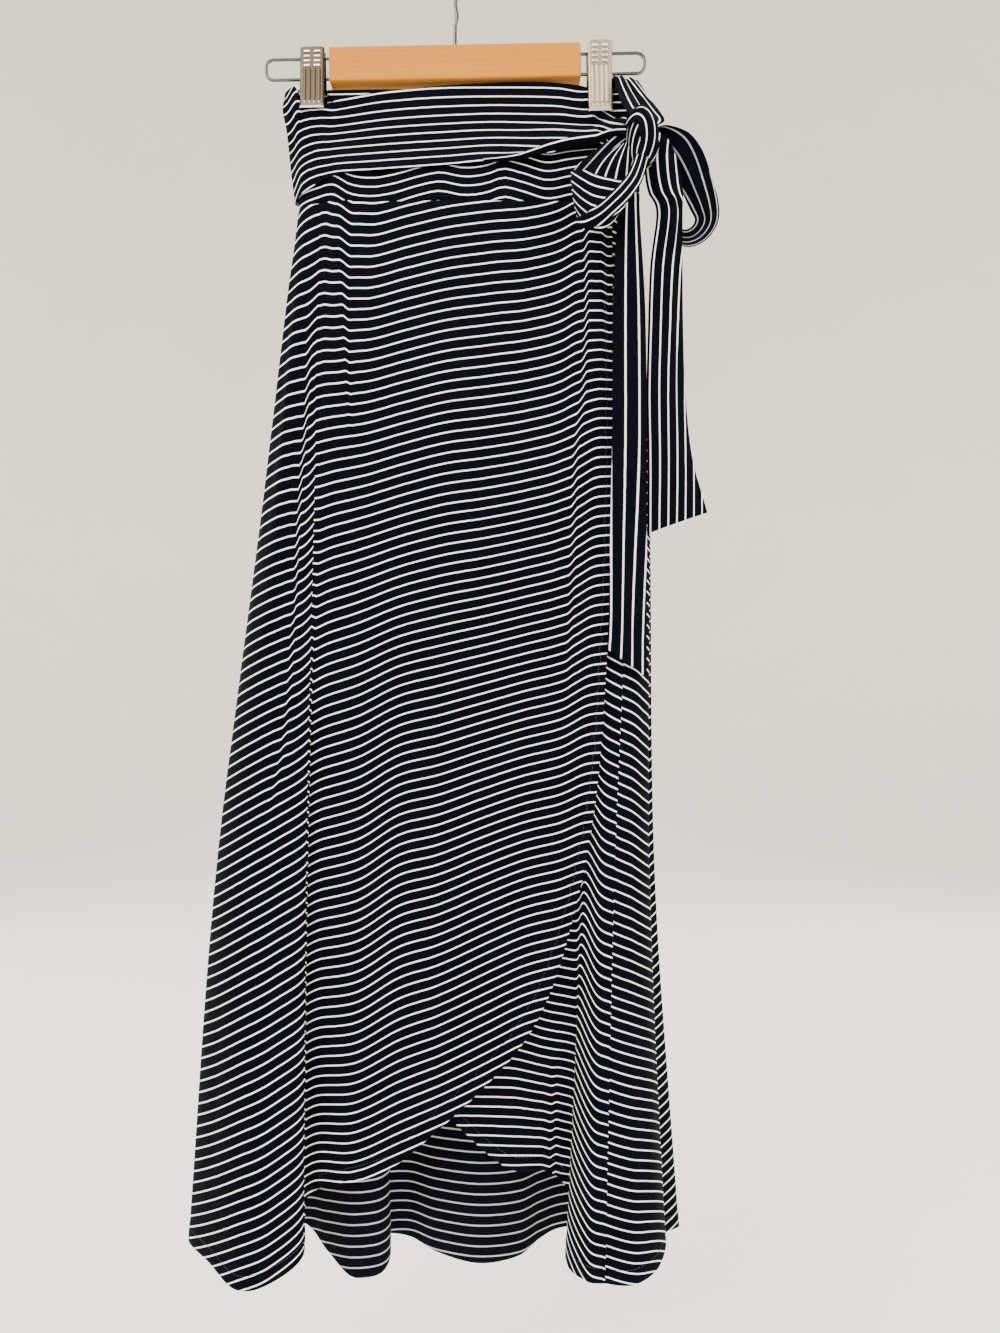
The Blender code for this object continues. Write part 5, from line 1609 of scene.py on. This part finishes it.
# Plates before the bar is tipped: x, side (-1 is the front), y of the inner face at foot and top, z of both
CLIP_PLATES = {
    "clip_left_front": (CLIP_LEFT_X, -1, -11.4, -3.4, -144, -85.5),
    "clip_left_back": (CLIP_LEFT_X, 1, 8.0, 5.0, -144, -85.5),
    "clip_right_front": (CLIP_RIGHT_X, -1, -6.0, -9.0, -148.5, -87.5),
    "clip_right_back": (CLIP_RIGHT_X, 1, 6.2, 9.2, -148.5, -87.5),
}
SPRINGS = {"clip_left_spring": (CLIP_LEFT_X, 6.0), "clip_right_spring": (CLIP_RIGHT_X, 6.4)}
SPRING_LENGTH = 17.0
PLATE_GRID = (150, 64)
RIB_PLACES = (-6.3, -2.1, 2.1, 6.3)  # across the plate; the foot's dots lie below them
RIB_TOP, RIB_FOOT = 22.0, 9.0  # below the top, above the foot
RIB_RADIUS = 1.25
RIB_RISE = 0.55
LOUVRE_ROWS = (4.2, 8.6, 13.0, 17.4)  # below the top
LOUVRE_PLACES = (-4.4, 4.4)
LOUVRE_HALF = 3.2
LOUVRE_RISE = 0.95
DOT_FOOT = 6.0  # above the foot
DOT_RISE = 0.4
LIP_LENGTH, LIP_OUT = 6.0, 1.6
CORNER_SIZE, CORNER_DROP = 2.5, 0.88  # how the plate's top corners are eased
LOUVRE_ZONE = (21.5, 20.5)  # below the top, where the painted highlights on the crests end
DOT_ZONE = (7.3, 7.1)  # above the foot, where they begin again
BRUSHED = (2200.0, 2200.0, 90.0)

# One nickelled steel in two copies: the right plates' copy is lighter, with reflected light painted in; the
# left plates' copy is darker.
nickel = metal_finish(
    "nickelled steel", (0.125, 0.096, 0.058), (0.078, 0.060, 0.038), 0.30, 0.55, BRUSHED
)
nickel_painted_lighter = metal_finish(
    "nickelled steel painted lighter", (0.56, 0.48, 0.33), (0.38, 0.32, 0.21), 0.22, 0.48, BRUSHED
)


def steep_painted_shade(relief, across, below):
    """How steep a relief is, 0 to 1, used as painted shade beside ribs and louvres and where the sides turn
    in.
    """
    steep = np.hypot(
        np.gradient(relief, axis=0) / np.gradient(below, axis=0),
        np.gradient(relief, axis=1) / np.maximum(np.gradient(across, axis=1), 0.05),
    )
    turned_down = 0.7 * ease(CLIP_WIDTH / 2 - 1.3, CLIP_WIDTH / 2 - 0.5, np.abs(across))
    return np.clip(steep / 0.7 + turned_down, 0, 1)


def pressed(across, below, height):
    """Relief of a plate, outwards: capsule ribs, louvres that rise slowly and drop sharply, round dots."""
    end = np.clip(below, RIB_TOP, height - RIB_FOOT)
    relief = np.zeros_like(below)
    for place in RIB_PLACES:
        off = np.hypot(across - place, below - end)
        relief += RIB_RISE * ease(RIB_RADIUS * 1.25, RIB_RADIUS * 0.35, off)
        relief += DOT_RISE * ease(0.9, 0.3, np.hypot(across - place, below - (height - DOT_FOOT)))
    for row in LOUVRE_ROWS:
        for place in LOUVRE_PLACES:
            window = ease(LOUVRE_HALF, LOUVRE_HALF - 1.1, np.abs(across - place))
            ramp = ease(-1.6, 0.9, below - row) * ease(1.35, 1.0, below - row)
            relief += LOUVRE_RISE * window * ramp
    return relief


def clip_plate(name, row, finish, shade):
    """The face and its two turned cheeks as one strip: across it goes flat, round a small bend and inwards;
    downwards it follows the slope from top to foot, then the lip's curve. Shade is painted on steep sides
    with the strength `shade`, and painted highlights go on the crests of louvres and dots and on the foot's
    rim."""
    x, side_y, foot_y, top_y, foot_z, top_z = row
    rows, columns = PLATE_GRID
    height = top_z - foot_z
    half, bend = CLIP_WIDTH / 2, CLIP_BEND
    below = np.linspace(0, height, rows)[:, None] + np.zeros((1, columns))
    at_cheek = ease(CHEEK_FROM - 2, CHEEK_FROM, below) * ease(CHEEK_TO + 2, CHEEK_TO, below)
    cheek = SIDE_DEPTH + (CHEEK_DEPTH - SIDE_DEPTH) * at_cheek
    arc_length = half - bend + bend * math.pi / 2
    walk = np.linspace(-1, 1, columns)[None, :] * (arc_length + np.maximum(cheek - bend, 0.0))
    beyond = np.abs(walk) - (half - bend)
    angle = np.clip(beyond / bend, 0, math.pi / 2)
    straight = np.maximum(beyond - bend * math.pi / 2, 0)
    across = np.sign(walk) * (np.minimum(np.abs(walk), half - bend) + bend * np.sin(angle))
    inward = bend * (1 - np.cos(angle)) + straight
    lip = LIP_OUT * ease(LIP_LENGTH, 0.0, height - below)
    corner = CORNER_DROP * ease(half - CORNER_SIZE, half, np.abs(across)) * ease(CORNER_SIZE, 0.0, below)
    relief = pressed(across, below, height)
    out = relief * ease(half - 0.4, half - 1.6, np.abs(across)) + lip - inward
    face_y = top_y + (foot_y - top_y) * below / height
    points = np.stack([x + across, face_y + side_y * (out + CLIP_SHEET / 2), top_z - below - corner], -1)
    points = tipped(points)
    facing = grid_normals(points, np.zeros_like(points) + (0.0, float(side_y), 0.0))
    number = np.arange(rows * columns).reshape(rows, columns)
    outer = points + facing * CLIP_SHEET / 2
    inner = points - facing * CLIP_SHEET / 2
    rim = np.concatenate([number[0, :], number[1:, -1], number[-1, -2::-1], number[-2:0:-1, 0]])
    following = np.roll(rim, -1)
    count = rows * columns
    edge = np.stack([following, rim, rim + count, following + count], axis=-1)
    faces = np.concatenate([quads(number), quads(number)[:, ::-1] + count, edge])
    made = put_mesh(name, np.concatenate([outer.reshape(-1, 3), inner.reshape(-1, 3)]), faces, (finish,))
    made.data.set_sharp_from_angle(angle=math.radians(50))
    dots = ease(*DOT_ZONE, height - below)
    off_ribs = ease(*LOUVRE_ZONE, below) + dots
    # Painted highlights on the louvre and dot crests and along the foot's rim.
    glint_paint = np.clip((relief - 0.45 + 0.3 * dots) / 0.3, 0, 1) * off_ribs + ease(1.8, 0.6, height - below)
    # Painted shade, strongest on the steep sides of the reliefs and at the turned sides.
    painted_shade = shade * steep_painted_shade(relief, across, below)
    for attribute, value in (("hollow", painted_shade), ("crest", np.clip(glint_paint, 0, 1))):
        made.data.attributes.new(attribute, "FLOAT", "POINT").data.foreach_set(
            "value", np.tile(value.ravel(), 2)
        )
    return made


for node, row in CLIP_PLATES.items():
    # Right plates: the lighter copy, with painted reflected light, and full painted shade; left plates: the
    # darker copy and weaker painted shade.
    finish, shade = (nickel, 0.6) if "left" in node else (nickel_painted_lighter, 1.0)
    plate = clip_plate(node.replace("clip", "plate"), row, finish, shade)
    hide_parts(node)
    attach(plate, "root")

COIL_TURNS = 9.0
COIL_STEPS = 28  # in a turn
COIL_WIRE = 0.75  # radius
COIL_SIDES = 10
lower_wire = BAR_MIDDLE - WIRE_SPACING / 2
for node, (x, radius) in SPRINGS.items():
    turn = np.linspace(0, 2 * math.pi * COIL_TURNS, int(COIL_TURNS * COIL_STEPS))
    reach = SPRING_LENGTH / 2 - COIL_WIRE
    coil_radius = radius - COIL_WIRE - 0.1
    route = np.stack(
        [
            x + np.linspace(-reach, reach, len(turn)),
            coil_radius * np.sin(turn),
            lower_wire + coil_radius * np.cos(turn),
        ],
        axis=1,
    )
    run = unit(np.gradient(route, axis=0))
    out = np.stack([np.zeros(len(turn)), np.sin(turn), np.cos(turn)], axis=1)
    size = np.full(len(turn), COIL_WIRE)
    size[0] = size[-1] = 0.02
    points = tipped(rings(route, run, out, size, COIL_SIDES)).reshape(-1, 3)
    faces = ring_quads(len(turn), COIL_SIDES)
    coil = put_mesh(node.replace("clip", "coil"), points, faces, (chrome,))
    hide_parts(node)
    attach(coil, "root")

# ---------------------------------------------------------------------------------------------------------
# The studio: a wide pale floor that sweeps up into a wall all round, far behind the skirt, soft lights and
# the camera at the height of the skirt's middle.

FLOOR = -1.42  # metres
BOWL = 3.2  # radius of the flat floor, in metres
BOWL_WALL = 1.4  # radius of the sweep
WALL_TOP = 4.8
BOWL_SIDES = 64


def bowl_points():
    """A flat disc, a quarter circle and a wall, turned round the vertical axis."""
    bend = np.radians(np.linspace(0, 90, 16))
    radius = np.concatenate([[0.001, BOWL * 0.5], BOWL + BOWL_WALL * np.sin(bend), [BOWL + BOWL_WALL]])
    height = np.concatenate([[0, 0], BOWL_WALL * (1 - np.cos(bend)), [WALL_TOP]])
    angles = np.linspace(0, 2 * math.pi, BOWL_SIDES, endpoint=False)
    x = radius[:, None] * np.cos(angles)
    y = radius[:, None] * np.sin(angles)
    return np.stack([x, y, FLOOR + height[:, None] + np.zeros_like(x)], axis=-1)


grid = bowl_points()
mesh = bpy.data.meshes.new("studio_floor")
mesh.from_pydata(grid.reshape(-1, 3).tolist(), [], ring_quads(len(grid), BOWL_SIDES).tolist())
mesh.shade_smooth()
floor = bpy.data.objects.new("studio_floor", mesh)
bpy.context.scene.collection.objects.link(floor)
paint, tree, shader = new_finish("pale floor")
place = add_node(tree, "ShaderNodeTexCoord").outputs["Object"]
tone = add_node(tree, "ShaderNodeTexNoise", {"Vector": place, "Scale": 3.0, "Detail": 2.0})
tree.links.new(
    blend(tree, tone.outputs["Fac"], (0.87, 0.84, 0.765), (0.91, 0.88, 0.805)), shader.inputs["Base Color"]
)
shader.inputs["Roughness"].default_value = 0.9
floor.data.materials.append(paint)

# Columns: name, place, aimed at, width, height, watts
LIGHTS = (
    ("key", (-1.3, -2.0, 1.0), (0.0, 0.0, -0.6), 1.4, 1.8, 90.0),
    ("fill", (1.7, -1.9, 0.1), (0.0, 0.0, -0.7), 1.6, 2.0, 50.0),
    ("top", (0.0, 0.2, 1.7), (0.0, 0.0, -0.6), 1.8, 1.8, 60.0),
    ("back_left", (-1.8, 1.9, 0.6), (0.0, 0.0, -0.6), 1.5, 2.0, 60.0),
    ("back_right", (1.7, 2.1, 0.4), (0.0, 0.0, -0.6), 1.5, 2.0, 50.0),
)
for name, at_place, aim, width, height, watts in LIGHTS:
    data = bpy.data.lights.new(name, "AREA")
    data.shape = "RECTANGLE"
    data.size, data.size_y, data.energy = width, height, watts
    lamp = bpy.data.objects.new(name, data)
    lamp.location = at_place
    lamp.rotation_euler = (Vector(aim) - Vector(at_place)).to_track_quat("-Z", "Y").to_euler()
    bpy.context.scene.collection.objects.link(lamp)

world = bpy.data.worlds.new("studio air")
world.use_nodes = True
world.node_tree.nodes["Background"].inputs["Color"].default_value = (1.0, 0.985, 0.955, 1.0)
world.node_tree.nodes["Background"].inputs["Strength"].default_value = 1.25
bpy.context.scene.world = world

lens = bpy.data.cameras.new("camera")
lens.lens, lens.sensor_width = 27.0, 36.0
lens.clip_start, lens.clip_end = 0.05, 30.0
camera = bpy.data.objects.new("camera", lens)
camera.location = (0.0396, -0.88, -0.631)
camera.rotation_euler = (math.radians(90), 0.0, 0.0)
bpy.context.scene.collection.objects.link(camera)
bpy.context.scene.camera = camera
